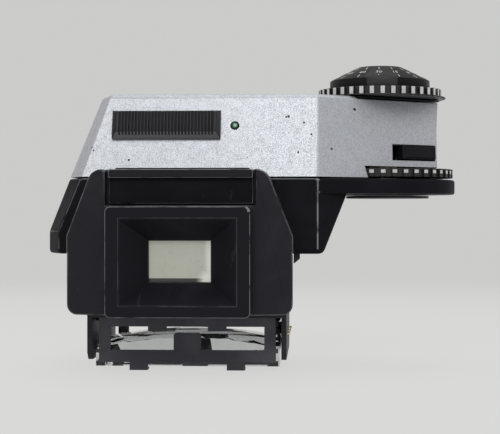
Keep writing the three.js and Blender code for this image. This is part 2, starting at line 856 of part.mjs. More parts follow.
function rearCover() {
  const whole = run(wingOutline(), wingRearY, wingFrontY);
  const plan = [
    [-wingHalf - wingLeft, wingFrontY],
    [-wingHalf - wingLeft, wingRearY + wingSlope],
    [-wingInner, wingRearY],
    [wingInner, wingRearY],
    [wingHalf, wingRearY + wingSlope],
    [wingHalf, wingFrontY],
  ];
  const outer = whole.intersect(raised(plan, wingFootZ - over, wingTopZ + over));
  const wide = 2 * (wingHalf + wingLeft) + over;
  const camera = slab(wide, wingBackY, wingFrontY + over, wingFootZ - over, seatZ);
  const cavity = run(inset(wingOutline(), wingWall), wingBackY, wingFrontY + over)
    .intersect(slab(wide, wingBackY, wingFrontY + over, seatZ + wingWall, wingTopZ));
  const channel = slab(
    2 * wingInner, wingRearY - over, panelY + panelThick + fit,
    rimTopZ + fit, wingTopZ + over,
  );
  const pocket = slab(
    windowWidth + 2 * (paneLap + fit), wingRearY - over, paneY + paneThick + fit,
    eyeZ - windowHeight / 2 - paneLap - fit, eyeZ + windowHeight / 2 + paneLap + fit,
  );
  const sight = slab(
    windowWidth, wingRearY - over, wingBackY + over,
    eyeZ - windowHeight / 2, eyeZ + windowHeight / 2,
  );
  const tunnel = slab(
    tunnelWidth + 2 * fit, wingBackY, wingFrontY + over,
    seatZ - over, tunnelHighZ + fit,
  );
  const slot = slab(
    2 * (backHalf + fit), backY - fit, backY + backThick + fit,
    wingTopZ - wingWall - over, wingTopZ + over,
  );
  return cutAll(outer, [camera, cavity, channel, pocket, sight, tunnel, slot]);
}

function eyepieceFrame() {
  const frontY = wingRearY - fit;
  const outline = rectangle(rimWidth, rimHeight, 0, eyeZ, rimCorner);
  const block = run(outline, frontY - rimDepth, frontY);
  const levels = [
    { z: -over, points: rectangle(recessWidth, recessHeight) },
    { z: 0, points: rectangle(recessWidth, recessHeight) },
    { z: recessDepth, points: rectangle(windowWidth, windowHeight) },
    { z: rimDepth + over, points: rectangle(windowWidth, windowHeight) },
  ];
  const sight = lofted(levels).rotateX(-Math.PI / 2).translate(0, frontY - rimDepth, eyeZ);
  return block.subtract(solid(sight));
}

function eyepiecePane() {
  return slab(
    windowWidth + 2 * paneLap, paneY, paneY + paneThick,
    eyeZ - windowHeight / 2 - paneLap, eyeZ + windowHeight / 2 + paneLap,
  );
}

const tunnelRearY = wingBackY + fit;
const tunnelFrontY = collarRearY - fit;

function tunnel() {
  const outer = slab(tunnelWidth, tunnelRearY, tunnelFrontY, tunnelLowZ, tunnelHighZ);
  const inner = slab(
    tunnelWidth - 2 * tunnelWall, tunnelRearY - over, tunnelFrontY + over,
    tunnelLowZ + tunnelWall, tunnelHighZ - tunnelWall,
  );
  return outer.subtract(inner);
}

function lensCell() {
  const plate = slab(
    tunnelWidth - 2 * (tunnelWall + fit), lensY - cellThick / 2, lensY + cellThick / 2,
    tunnelLowZ + tunnelWall + fit, tunnelHighZ - tunnelWall - fit,
  );
  return plate.subtract(barY(lensRadius + fit, lensY - over, lensY + over, 0, eyeZ));
}

function eyepieceLens() {
  const steps = 6;
  const bulge = (side) => Array.from({ length: steps + 1 }, (_, k) => {
    const share = side < 0 ? k / steps : 1 - k / steps;
    return [lensRadius * share, side * (lensEdge / 2 + lensBulge * (1 - share * share))];
  });
  const points = [...bulge(-1), ...bulge(1)].map(([r, y]) => new THREE.Vector2(r, y));
  return solid(new THREE.LatheGeometry(points, fine).translate(0, lensY, eyeZ));
}

function upperPanel() {
  const lowZ = rimTopZ + 2 * fit;
  const plate = slab(2 * panelHalf, panelY, panelY + panelThick, lowZ, wingTopZ);
  return plate.add(slab(2 * panelHalf, panelY - lipProud, panelY, wingTopZ - lipHeight, wingTopZ));
}

function panelBack() {
  return slab(2 * backHalf, backY, backY + backThick, tunnelHighZ + 2 * fit, backTopZ);
}

// Pentaprism: square faces below and behind, the two folded faces at an eighth of a turn.

function roofOutline(topZ) {
  return [
    [-prismHalf, prismFootZ],
    [prismHalf, prismFootZ],
    [prismHalf, topZ - roofRise],
    [0, topZ],
    [-prismHalf, topZ - roofRise],
  ];
}

function pentaprism() {
  const far = prismRearY + prismFace * Math.SQRT2;
  const side = [
    [prismRearY, prismFootZ],
    [prismRearY + prismFace, prismFootZ],
    [far, prismFootZ + prismFace],
    [prismRearY + prismFace, prismTopZ],
    [prismRearY, prismFootZ + prismFace],
  ];
  const body = across(side, -prismHalf, prismHalf);
  return body.intersect(run(roofOutline(prismTopZ), prismRearY - over, far + over));
}

function prismShelf() {
  const reach = collarHalf - collarWall - fit;
  const topZ = prismFootZ - fit;
  const plate = box(-reach, reach, -glassDepth / 2, glassDepth / 2, topZ - shelfThick, topZ);
  const gate = box(
    shelfGate - prismHalf, prismHalf - shelfGate,
    prismRearY + shelfGate, prismRearY + prismFace - shelfGate,
    topZ - over, topZ + over,
  );
  return plate.subtract(gate);
}

const flangeTopZ = flangeLowZ + flangeThick;

function prismStrap() {
  const [y0, y1] = [strapY - strapWidth / 2, strapY + strapWidth / 2];
  const outline = roofOutline(prismTopZ);
  const footZ = flangeTopZ + fit;
  const band = run(inset(outline, -fit - strapThick), y0, y1)
    .subtract(run(inset(outline, -fit), y0 - over, y1 + over))
    .subtract(slab(4 * prismHalf, y0 - over, y1 + over, prismFootZ - over, footZ));
  const reach = prismHalf + fit + strapThick;
  const foot = (side) => slab(
    strapFoot + strapThick, y0, y1, footZ, footZ + strapThick,
    side * (reach + (strapFoot - strapThick) / 2),
  );
  return band.add(foot(-1)).add(foot(1));
}

function photocell(side) {
  const z = flangeTopZ + fit + cellRadius;
  return barY(cellRadius, prismRearY - fit - cellLength, prismRearY - fit, side * cellX, z, coarse);
}

// The ribbed battery cover with its plug in the port of the top cover.
function batteryCover() {
  const skirt = fit + lidSkirt;
  const base = onFacet(lidFrame, rectangle(lidWidth, lidHeight), fit, skirt);
  const top = onFacetTapered(lidFrame, lidWidth, lidHeight, skirt, fit + lidProud, lidBevel);
  const plugWidth = port.width - lidTravel - 2 * fit;
  const plugX = (port.width - plugWidth) / 2 - fit;
  const plug = onFacet(
    lidFrame, rectangle(plugWidth, port.height - 2 * fit, plugX), -lidPlug, skirt);
  const ribbed = lidWidth - 2 * (lidBevel + ribMargin);
  const pitch = ribbed / ribCount;
  const grooves = Array.from({ length: ribCount }, (_, k) => {
    const x = (k + 1 / 2) * pitch - ribbed / 2;
    const width = (1 - ribShare) * pitch;
    const outline = rectangle(width, lidHeight + over, x);
    return onFacet(lidFrame, outline, fit + lidProud - ribDepth, fit + lidProud + over);
  });
  return cutAll(base.add(top).add(plug), grooves);
}

const boardTopZ = coverTopZ - roofThick - fit;
const boardLowZ = boardTopZ - boardThick;
const batteryTopZ = boardLowZ - 2 * fit - holderWall;
const batteryLowZ = batteryTopZ - batteryThick;
const wallDepth = coverWall / Math.sin(Math.acos(rise.y));
const batteryY = rearY + coverLean * coverShare(boardLowZ) + wallDepth + 2 * fit + batteryRadius;

function batteryHolder() {
  const half = batteryRadius + fit + holderWall;
  const lowZ = batteryLowZ - 2 * fit - contactThick - holderWall;
  const outer = box(
    lidX - half, lidX + half, batteryY - batteryRadius, batteryY + half,
    lowZ, batteryTopZ + fit + holderWall,
  );
  const inner = batteryRadius + fit;
  const cavity = disc(inner, lowZ + holderWall, batteryTopZ + fit, fine, lidX, batteryY);
  const mouth = box(
    lidX - inner, lidX + inner, batteryY - batteryRadius - over, batteryY,
    lowZ + holderWall, batteryTopZ + fit,
  );
  return outer.subtract(cavity.add(mouth));
}

function batteryContact() {
  const topZ = batteryLowZ - fit;
  return disc(batteryRadius / 2, topZ - contactThick, topZ, coarse, lidX, batteryY);
}

function switchKnob() {
  const height = switchHeight;
  const body = onFacet(switchFrame, rectangle(switchLength, height), -switchDepth, switchProud - switchRidge);
  const ridge = onFacet(
    switchFrame, rectangle(2 * switchRidge, height, switchRidge - switchLength / 2),
    0, switchProud);
  const cap = onFacetTapered(
    switchFrame, switchLength, height, 0, switchProud, switchRidge);
  return body.add(ridge).add(cap);
}

function switchContact() {
  const low = -switchDepth - fit;
  return onFacet(switchFrame, rectangle(switchLength - switchTravel, switchHeight), low - switchPlate, low);
}

function contactBlock() {
  const half = ((pinCount - 1) * pinPitch) / 2 + blockMargin;
  const right = collarHalf - collarWall - fit;
  const block = box(
    right - blockThick, right, pinY - half, pinY + half,
    pinZ - blockHeight / 2, pinZ + blockHeight / 2,
  );
  const holes = Array.from({ length: pinCount }, (_, k) =>
    barX(pinRadius + fit, right - blockThick - over, right + over, pinPlace(k), pinZ));
  return cutAll(block, holes);
}

function contactPin(k) {
  const tip = collarHalf + pinProud;
  return barX(pinRadius, tip - pinLength, tip, pinPlace(k), pinZ);
}

function lockCatch() {
  const [left, right] = [catchX - catchWidth / 2, catchX + catchWidth / 2];
  const headZ = seatZ + floorThick + fit;
  const [y0, y1] = [catchY - catchDepth / 2, catchY + catchDepth / 2];
  const hook = run(
    [
      [left, seatZ - catchDrop],
      [right, seatZ - catchDrop / 2],
      [right, headZ + catchHead],
      [left, headZ + catchHead],
    ],
    y0, y1,
  );
  return hook.add(box(left, right + catchWidth, y0, y1, headZ, headZ + catchHead));
}

function screw([x, y]) {
  const headZ = flangeTopZ + fit;
  const shank = disc(screwRadius, seatZ + fit, headZ + screwHeadThick, coarse, x, y);
  return shank.add(disc(screwHead, headZ, headZ + screwHeadThick, coarse, x, y));
}

function meterNeedle() {
  const topZ = boardLowZ - fit - movementHeight - fit;
  const half = needleWidth / 2;
  const hub = disc(needleWidth, topZ - needleThick, topZ, coarse, movementX, movementY);
  return hub.add(box(
    movementX - needleLength, movementX, movementY - half, movementY + half,
    topZ - needleThick, topZ,
  ));
}

function frontPlate() {
  const z = (splitZ + coverTopZ) / 2;
  const acrossAxis = new THREE.Vector3(-1, 0, 0);
  const up = new THREE.Vector3(0, -frontLean, coverTopZ - splitZ).normalize();
  const out = new THREE.Vector3().crossVectors(acrossAxis, up);
  const frame = new THREE.Matrix4().makeBasis(acrossAxis, up, out);
  frame.setPosition(0, frontY - frontLean * coverShare(z), z);
  return onFacetTapered(frame, 2 * plateX, plateHeight, fit, fit + plateThick, plateThick / 2);
}

add("condenser_lens", condenser(), "glass");
add("condenser_frame_rear", condenserFrame(-1), "blackMetal");
add("condenser_frame_front", condenserFrame(1), "blackMetal");
add("mount_collar", mountCollar(), "blackMetal");
add("contact_block", contactBlock(), "black");
for (let k = 0; k < pinCount; k++) add(`contact_pin_${k + 1}`, contactPin(k), "brass");
add("lower_housing", lowerHousing(), "black");
add("lock_catch", lockCatch(), "blackMetal");
screwPlaces.forEach((place, k) => add(`collar_screw_${k + 1}`, screw(place), "bright"));
add("arm_bush", bush(bushLowZ, discTopZ, bushFlange), "brass");
add("arm_under_plate", disc(
  underRadius, bushLowZ - fit - underThick, bushLowZ - fit, fine, axisX + underShift), "black");
add("scale_wheel", scaleWheel(), "blackMetal");
add("resistor_disc", ringOn(bushRadius + fit, discRadius, discLowZ, discTopZ), "board");
add("wiper_arm", wiperArm(), "brass");
add("dial_shaft", disc(shaftRadius, bushLowZ + fit, shaftTopZ), "bright");
add("top_cover", topCover(), "silver");
add("cover_bush", bush(
  coverTopZ - roofThick - fit - bushFlange, plateTopRim, bushFlange), "brass");
add("dial_seat_plate", dialSeatPlate(), "silver");
add("knurled_ring", knurledRing(), "blackMetal");
add("dome_dial", domeDial(), "black");
add("rear_cover", rearCover(), "black");
add("eyepiece_frame", eyepieceFrame(), "black");
add("eyepiece_pane", eyepiecePane(), "glass");
add("eyepiece_tunnel", tunnel(), "black");
add("lens_cell", lensCell(), "black");
add("eyepiece_lens", eyepieceLens(), "glass");
add("upper_panel", upperPanel(), "black");
add("panel_back", panelBack(), "black");
add("pentaprism", pentaprism(), "glass");
add("prism_shelf", prismShelf(), "blackMetal");
add("prism_strap", prismStrap(), "bright");
add("photocell_left", photocell(-1), "brass");
add("photocell_right", photocell(1), "brass");
add("battery_cover", batteryCover(), "black");
add("battery", disc(batteryRadius, batteryLowZ, batteryTopZ, fine, lidX, batteryY), "bright");
add("battery_holder", batteryHolder(), "black");
add("battery_contact", batteryContact(), "brass");
add("indicator_lens", onFacet(lampFrame, circle(lampRadius), -lampDepth, lampProud), "green");
add("indicator_bezel", onFacet(lampFrame, circle(lampRadius + fit + bezelWall), -lampDepth, lampProud / 2)
  .subtract(onFacet(lampFrame, circle(lampRadius + fit), -lampDepth - over, over)), "black");
add("meter_switch", switchKnob(), "black");
add("switch_contact", switchContact(), "brass");
add("circuit_board", box(
  lidX - batteryRadius, movementX + movementRadius, batteryY - batteryRadius, movementY + movementRadius,
  boardLowZ, boardTopZ), "board");
add("meter_movement", disc(
  movementRadius, boardLowZ - fit - movementHeight, boardLowZ - fit, fine, movementX, movementY), "bright");
add("meter_needle", meterNeedle(), "bright");
add("front_plate", frontPlate(), "black");

export default group;
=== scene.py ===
"""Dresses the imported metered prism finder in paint, worn plastic, glass and knurled metal.

Lengths are metres in the frame of the CAD solids: +Z up, -Y towards the eye, +X towards the arm.
"""
import json
from math import cos, hypot, pi, radians, sin

import bmesh
import bpy
from bpy.props import FloatProperty, FloatVectorProperty, IntProperty, PointerProperty
from mathutils import Matrix, Vector


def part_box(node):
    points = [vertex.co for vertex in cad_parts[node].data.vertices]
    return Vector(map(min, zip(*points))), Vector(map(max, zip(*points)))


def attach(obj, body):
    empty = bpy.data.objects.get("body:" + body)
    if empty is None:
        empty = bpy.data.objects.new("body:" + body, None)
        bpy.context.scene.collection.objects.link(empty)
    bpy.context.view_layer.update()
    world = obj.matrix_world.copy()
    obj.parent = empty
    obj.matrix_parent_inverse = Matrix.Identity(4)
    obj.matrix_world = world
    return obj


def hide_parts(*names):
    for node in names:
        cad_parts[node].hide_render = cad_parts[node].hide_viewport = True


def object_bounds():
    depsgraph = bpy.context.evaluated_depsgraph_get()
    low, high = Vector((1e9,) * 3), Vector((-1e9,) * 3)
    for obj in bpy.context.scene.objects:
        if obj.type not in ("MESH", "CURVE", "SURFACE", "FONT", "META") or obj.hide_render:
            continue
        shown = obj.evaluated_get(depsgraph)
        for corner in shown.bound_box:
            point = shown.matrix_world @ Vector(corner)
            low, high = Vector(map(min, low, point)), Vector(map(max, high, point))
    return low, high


bl_info = {
    "name": "Metered prism finder",
    "version": (1, 0, 0),
    "blender": (4, 5, 0),
    "location": "View3D > Sidebar > Finder",
    "description": "Dresses a removable metering prism finder and sets up its studio",
    "category": "Object",
}

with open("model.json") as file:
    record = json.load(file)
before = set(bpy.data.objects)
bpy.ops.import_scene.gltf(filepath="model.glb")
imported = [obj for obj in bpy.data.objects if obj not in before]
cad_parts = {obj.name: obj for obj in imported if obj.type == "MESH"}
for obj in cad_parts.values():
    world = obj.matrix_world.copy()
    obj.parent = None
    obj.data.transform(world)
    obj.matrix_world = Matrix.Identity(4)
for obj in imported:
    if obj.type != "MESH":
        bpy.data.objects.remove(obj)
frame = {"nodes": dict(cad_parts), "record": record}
cad_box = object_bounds()
body_names = {}
for body, nodes in frame["record"]["behaviour"]["bodies"].items():
    body_names.update(dict.fromkeys(nodes, body))

MM = 0.001
MERGE = 2e-6

# Bends between faces: below the first they count as flat, up to the second as a curve's step,
# and from the third on as an edge to round and to shade sharp
FLAT = radians(1)
CURVED = radians(12)
SHARP = radians(28)
# The housing and the cover are rounded from a lower bend on; the cover's steep edges stay crisp
LOW_BEND = radians(20)
STEEP_BEND = radians(70)
# Area from which a face is shaded flat, in square metres
WIDE = 12e-6

# Edge radii that the panel doesn't show, in mm
EDGES = {
    "indicator_bezel": 0.05, "indicator_lens": 0.28, "contact_block": 0.06, "lock_catch": 0.12,
    "eyepiece_pane": 0.08, "dome_dial": 0.1, "meter_switch": 0.12,
    **dict.fromkeys(("condenser_frame_rear", "condenser_frame_front"), 0.07),
    **{f"collar_screw_{count}": 0.1 for count in range(1, 5)},
}

# Creases of the silver cover that are rounded: least length and greatest X, and its middle
CREASE = 0.001
CREASE_END = 0.036
COVER_MIDDLE = Vector((0.008, 0, 0.044))

# Where the housing's edges are rubbed: up to an X, from a height above its foot, and how much
# of the wear is left on its far sides
WEAR_END = 0.0284
WEAR_FOOT = 0.001
FAR_WEAR = 0.4

# Eyepiece frame and panel: width of the rim, depth of the rail's front, and the share of wear
# inside the rim and down its right side
RIM_WIDE = 0.0012
RAIL_DEEP = 0.0004
INNER_WEAR = 0.16
SIDE_WEAR = 2.2

# How squarely a face has to look one way to be a front: cosines of the angle between
FRONT = 0.95
TIP_FRONT = 0.97
LUG_FRONT = 0.8
FACET_FRONT = 0.98

# The battery cover's sloped facet: its directions, the height of the cover's bevel, and how far
# the lower and the side bevels are drawn in
FACET_OUT = Vector((0, -0.9631, 0.2690))
FACET_UP = Vector((0, 0.2690, 0.9631))
BEVEL_HIGH = 0.00105
BEVEL_LOWER = 0.0007
BEVEL_SIDE = 0.00035
# Normals of its lower bevel (Y and Z below) and of its side bevels (X beyond, Y below)
LOWER_Y, LOWER_Z = -0.1, -0.3
SIDE_X, SIDE_Y = 0.5, -0.3
# Least area of a side bevel, and how pale each sort of face is painted beside the lower bevel,
# which
# is painted light as if lit from below: the right side bevel paler than the left as if lit from
# the right, and the rib crests a little paler
SIDE_BEVEL = 2e-6
PAINTED_LIGHT_RIGHT = 0.3
PAINTED_LIGHT_LEFT = 0.1
PALE_RIBS = 0.2

# The battery lamp: how far its parts reach from its middle, and how they are scaled
LAMP_REACH = 0.0025
LENS_WIDER = 1.2
HOLE_NARROWER = 0.75

# The dial's finger lug, whose faces towards the eye get a painted sheen: half its width, and how
# far from the axis it starts
LUG_HALF = 0.0034
LUG_OUT = 0.0107

# The rims' bright tips in mm: how far inside the widest radius they may start, and between which
# heights above the rim's foot
TOOTH_TIPS = {"knurled_ring": (1.2, 0.35, 3.0), "scale_wheel": (0.2, 0.85, 1.55)}

# Numbers round the dial and their places on its cone, in mm: axis, bearing of the middle number,
# angle to the next, radius and height of the cone's foot and top, and how far up numbers and
# ticks lie
NUMBERS = ("1000", "500", "250", "125", "60", "30", "15", "8", "4", "2", "1")
DIAL_AXIS = (41.7, 2.0)
DIAL_FRONT = radians(-94)
DIAL_PITCH = radians(25.5)
CONE_LOW = (11.1, 62.1)
CONE_TOP = (4.9, 65.2)
CONE_MIDDLE = 0.47
TICK_SHARES = (0.16, 0.78)
TICK_LENGTH = 1.2
# Font size of a number for a height of one
FONT_SHARE = 1.4

# A contact's outline: radius as a share of the shank's, and place as a share of its length
WAIST = 0.78
CONTACT_OUTLINE = (
    (0, 0), (1, 0), (1, 0.80), (WAIST, 0.82), (WAIST, 0.87), (1, 0.89), (1, 0.94), (0.8, 0.985),
    (0.4, 1), (0, 1),
)

# Chips in the rear paint and scuffs on the eyepiece frame: X, Z and radius in mm, and the Y that
# each kind lies behind, in metres
CHIPS = (
    (-19.6, 46.5, 0.16), (-19.2, 45.8, 0.15), (-11.7, 43.8, 0.22), (24.9, 51.7, 0.22),
    (26.4, 49.2, 0.18), (23.7, 45.4, 0.2), (35.7, 54.9, 0.26), (30.7, 46.2, 0.22),
    (-14.6, 53.9, 0.12), (13.2, 44.3, 0.12), (21.2, 52.85, 0.19), (21.65, 53.0, 0.25),
)
CHIPS_REAR = -0.008
SCUFFS = ((14.2, 33.25, 0.42), (13.8, 33.75, 0.26))
SCUFFS_REAR = -0.0369

# Finishes of the solids that stay as the CAD made them
INNER_FINISHES = {
    "inside": ("battery_holder", "prism_shelf", "lens_cell", "front_plate", "cover_bush"),
    "steel": ("dial_shaft", "prism_strap", "battery", "battery_contact", "meter_movement",
              "switch_contact", "meter_needle"),
    "brass": ("arm_bush", "wiper_arm"),
    "board": ("circuit_board", "resistor_disc"),
    "prism": ("eyepiece_lens",),
    # The pentaprism is black all over, its clear bottom face too: partly its real black paint,
    # partly painted shade for the dark view into it
    "prism_paint": ("pentaprism",),
    "lamp": ("photocell_left", "photocell_right"),
}

# The studio: name, place, size and power of each lamp, the point they aim at, the strength of the
# sky, and the floor's grey, glow, radius and gap below the finder
LAMPS = (
    ("key", (0.05, -0.80, 0.60), 0.55, 2.9),
    ("top", (0.05, 0.15, 0.95), 0.70, 1.6),
)
LAMP_AIM = Vector((0.01, 0, 0.035))
SKY = 0.42
FLOOR_GREY = (0.62, 0.62, 0.615, 1)
FLOOR_GLOW = 0.8
FLOOR_RADIUS = 0.9
FLOOR_GAP = 0.00005
# How far from the middle the floor's grey fades to the backdrop's, and where its glow rises
FADE_END = 0.45
GLOW_START, GLOW_END = 0.05, 0.35


# --- Shapes ---

def prepare(shape):
    """Shades a shape smooth, and adds how worn and how pale each face is."""
    for label in ("worn", "tip"):
        shape.faces.layers.float.new(label)
    for face in shape.faces:
        face.smooth = True
    return shape


def merged(node, whole=True):
    """A CAD solid as a bmesh: its loose triangles joined and, if whole, its flat faces too."""
    shape = bmesh.new()
    shape.from_mesh(frame["nodes"][node].data)
    bmesh.ops.remove_doubles(shape, verts=shape.verts, dist=MERGE)
    if whole:
        bmesh.ops.dissolve_limit(shape, angle_limit=FLAT, verts=shape.verts, edges=shape.edges)
    return prepare(shape)


def soften(shape, width, segments=2, sharp=SHARP, steepest=pi, where=None):
    """Rounds a shape's outer edges whose bend lies in a range, and marks their crests as worn.

    Faces are smooth from merged on. A wide one turns flat here if a rounded edge meets it or if
    it is no step of a curved wall.
    """
    edges = [
        edge for edge in shape.edges
        if edge.is_convex and sharp <= edge.calc_face_angle(0) <= steepest
        and (where is None or where(edge))]
    made = bmesh.ops.bevel(
        shape, geom=edges, offset=width, offset_type="OFFSET", affect="EDGES",
        segments=segments, profile=0.5, material=-1, clamp_overlap=False,
    )
    worn = shape.faces.layers.float["worn"]
    rounded = set(made["faces"])
    for face in shape.faces:
        beside = [other in rounded for edge in face.edges for other in edge.link_faces]
        curved = any(FLAT < edge.calc_face_angle(0) < CURVED for edge in face.edges)
        if face in rounded:
            face[worn] = float(all(beside))
        elif face.calc_area() > WIDE:
            face.smooth = curved and not any(beside)


def add_object(name, data):
    """Adds an object to the scene."""
    made = bpy.data.objects.new(name, data)
    bpy.context.scene.collection.objects.link(made)
    return made


def place(name, shape, material, body, replaced=()):
    """Turns a finished shape into a piece that rides on a CAD body.

    set_sharp_from_angle smooths every face, so the faces' own shading is kept and put back.
    """
    mesh = bpy.data.meshes.new(name)
    shape.to_mesh(mesh)
    shape.free()
    kept = [polygon.use_smooth for polygon in mesh.polygons]
    mesh.set_sharp_from_angle(angle=SHARP)
    mesh.polygons.foreach_set("use_smooth", kept)
    mesh.materials.append(material)
    piece = add_object(name, mesh)
    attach(piece, body)
    if replaced:
        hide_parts(*replaced)


def replace(node, shape, look):
    """Puts a finished shape in the place of a CAD node, on the same body."""
    place(node + "_dressed", shape, finish(look), body_names[node], (node,))


def dress(node, look, width=None, segments=2):
    """Replaces a CAD node by a softened copy in its own finish."""
    shape = merged(node)
    if width is None:
        width = EDGES.get(node, 0) * MM
    if width:
        soften(shape, width, segments)
    replace(node, shape, look)


def lathe(profile, start, steps):
    """Spins a profile of (radius, distance) points round the X axis through its start."""
    axis, out = Vector((1, 0, 0)), Vector((0, 0, 1))
    shape = bmesh.new()
    points = [shape.verts.new(start + out * radius + axis * far) for radius, far in profile]
    rim = [shape.edges.new(pair) for pair in zip(points, points[1:])]
    bmesh.ops.spin(
        shape, geom=points + rim, cent=start, axis=axis, dvec=(0, 0, 0),
        angle=2 * pi, steps=steps, use_merge=True,
    )
    bmesh.ops.remove_doubles(shape, verts=shape.verts, dist=MERGE)
    bmesh.ops.recalc_face_normals(shape, faces=shape.faces)
    return prepare(shape)


# --- Node trees ---

def add_node(tree, kind, sockets=None, **settings):
    """Adds a node, sets its fields, and sets or links its inputs."""
    made = tree.nodes.new(kind)
    for field, value in settings.items():
        setattr(made, field, value)
    for key, value in (sockets or {}).items():
        if isinstance(value, bpy.types.NodeSocket):
            tree.links.new(value, made.inputs[key])
        else:
            made.inputs[key].default_value = value
    return made


def math(tree, operation, first, second, clamp=False):
    """Result of one sum on two values."""
    made = add_node(
        tree, "ShaderNodeMath", {0: first, 1: second}, operation=operation, use_clamp=clamp)
    return made.outputs[0]


def remap(tree, value, low, high, to_low=0.0, to_high=1.0):
    """A value eased from one range to another."""
    made = add_node(
        tree, "ShaderNodeMapRange",
        {"Value": value, "From Min": low, "From Max": high, "To Min": to_low, "To Max": to_high},
        interpolation_type="SMOOTHSTEP",
    )
    return made.outputs["Result"]


def blend_colour(tree, mask, first, second):
    """The first colour where the mask is 0, the second where it is 1."""
    made = add_node(tree, "ShaderNodeMix", {0: mask}, data_type="RGBA")
    for index, value in ((6, first), (7, second)):
        if isinstance(value, bpy.types.NodeSocket):
            tree.links.new(value, made.inputs[index])
        else:
            made.inputs[index].default_value = (*value[:3], 1.0)
    return made.outputs[2]


def effect_group(name, inputs, outputs):
    """An empty shader group with named float inputs and outputs."""
    group = bpy.data.node_groups.new(name, "ShaderNodeTree")
    kind = "NodeSocketFloat"
    for label, default in inputs.items():
        socket = group.interface.new_socket(name=label, in_out="INPUT", socket_type=kind)
        socket.default_value = default
    for label in outputs:
        group.interface.new_socket(name=label, in_out="OUTPUT", socket_type=kind)
    entry = group.nodes.new("NodeGroupInput")
    leave = group.nodes.new("NodeGroupOutput")
    return group, entry.outputs, leave.inputs


def noise(tree, coords, scale, detail=2.0, rough=0.5, distortion=0.0):
    """Cloudy values round one half, with a scale in waves per metre."""
    made = add_node(
        tree, "ShaderNodeTexNoise",
        {"Vector": coords, "Scale": scale, "Detail": detail, "Roughness": rough,
         "Distortion": distortion},
    )
    return made.outputs["Fac"]


def object_coords(tree):
    """Place in the piece's own frame, in metres."""
    return add_node(tree, "ShaderNodeTexCoord").outputs["Object"]


def rubbed_edges():
    """Mask of the bare places on rounded edges, patchy along each edge."""
    group, given, result = effect_group("rubbed_edges", {"Amount": 0.5, "Scale": 400.0}, ["Mask"])
    coords = object_coords(group)
    worn = face_mark(group, "worn")
    patch = noise(group, coords, given["Scale"], 4.0, 0.6)
    level = math(group, "SUBTRACT", 1.0, given["Amount"])
    bare = math(group, "MULTIPLY", math(group, "SUBTRACT", patch, level), 7.0, True)
    group.links.new(math(group, "MULTIPLY", bare, worn), result["Mask"])
    return group


def handling_marks():
    """Soft smudges and thin scratches that change the sheen."""
    group, given, result = effect_group(
        "handling_marks", {"Smudge Scale": 90.0, "Scratch Scale": 500.0}, ["Smudge", "Scratch"])
    coords = object_coords(group)
    smudge = noise(group, coords, given["Smudge Scale"], 3.0, 0.6, 0.6)
    group.links.new(remap(group, smudge, 0.42, 0.68), result["Smudge"])
    stretch = add_node(
        group, "ShaderNodeMapping", {"Vector": coords, "Rotation": (0.5, 0.9, 0.3),
                                     "Scale": (1.0, 0.06, 0.35)}).outputs[0]
    lines = noise(group, stretch, given["Scratch Scale"], 2.0, 0.5)
    group.links.new(remap(group, lines, 0.69, 0.74), result["Scratch"])
    return group


def fine_grain():
    """Height of a fine even grain."""
    group, given, result = effect_group("fine_grain", {"Scale": 4000.0}, ["Height"])
    group.links.new(noise(group, object_coords(group), given["Scale"], 3.0, 0.6), result["Height"])
    return group


EFFECTS = {
    "rubbed_edges": rubbed_edges, "handling_marks": handling_marks, "fine_grain": fine_grain}
groups = {}


def effect(tree, name, **values):
    """Places one of the shared effects in a material with its own values."""
    if name not in groups:
        groups[name] = EFFECTS[name]()
    made = add_node(tree, "ShaderNodeGroup", node_tree=groups[name])
    for label, value in values.items():
        made.inputs[label.replace("_", " ")].default_value = value
    return made.outputs


def empty_tree(owner):
    """A material's or world's node tree, emptied."""
    owner.use_nodes = True
    owner.node_tree.nodes.clear()
    return owner.node_tree


def new_material(name, **values):
    """A material with one Principled shader that has the given values."""
    material = bpy.data.materials.new(name)
    tree = empty_tree(material)
    shader = tree.nodes.new("ShaderNodeBsdfPrincipled")
    out = tree.nodes.new("ShaderNodeOutputMaterial")
    tree.links.new(shader.outputs["BSDF"], out.inputs["Surface"])
    for label, value in values.items():
        shader.inputs[label.replace("_", " ")].default_value = value
    return material, tree, shader


def feed(tree, shader, **values):
    """Links values to the sockets of a shader."""
    for label, value in values.items():
        tree.links.new(value, shader.inputs[label.replace("_", " ")])


def bump(tree, shader, height, distance, strength):
    """Turns a height between 0 and 1 into a shader's normal."""
    made = add_node(tree, "ShaderNodeBump",
                    {"Height": height, "Distance": distance, "Strength": strength})
    tree.links.new(made.outputs["Normal"], shader.inputs["Normal"])


def grain_bump(tree, shader, scale, distance, strength):
    """The shared fine grain as a bump."""
    bump(tree, shader, effect(tree, "fine_grain", Scale=scale)["Height"], distance, strength)


def face_mark(tree, label):
    """How strongly a face is marked in one way."""
    return add_node(tree, "ShaderNodeAttribute", attribute_name=label).outputs["Fac"]


def flattened(tree, coords):
    """Places with their Y left out."""
    return add_node(
        tree, "ShaderNodeMapping", {"Vector": coords, "Scale": (1, 0, 1)}).outputs[0]


def away_from(tree, flat, spot):
    """Distance of flattened places from a spot given by X and Z, in metres."""
    away = add_node(
        tree, "ShaderNodeVectorMath", {0: flat, 1: (spot[0], 0, spot[1])}, operation="DISTANCE")
    return away.outputs["Value"]


# --- Finishes ---

# Depths of the bumps in the silver paint, in plastic and board, and in metal
SPECK_DEEP = 0.00006
GRAIN_DEEP = 0.00002
FINE_DEEP = 0.00001
# How far the outline of a chip or scuff strays
SPOT_STRAY = 0.0005
# How much smudges and scratches show on black, and how a smudge lightens it
SMUDGE_SHARE = 0.6
SCRATCH_SHARE = 0.05
LIGHTER, LIFTED = 1.5, 0.002

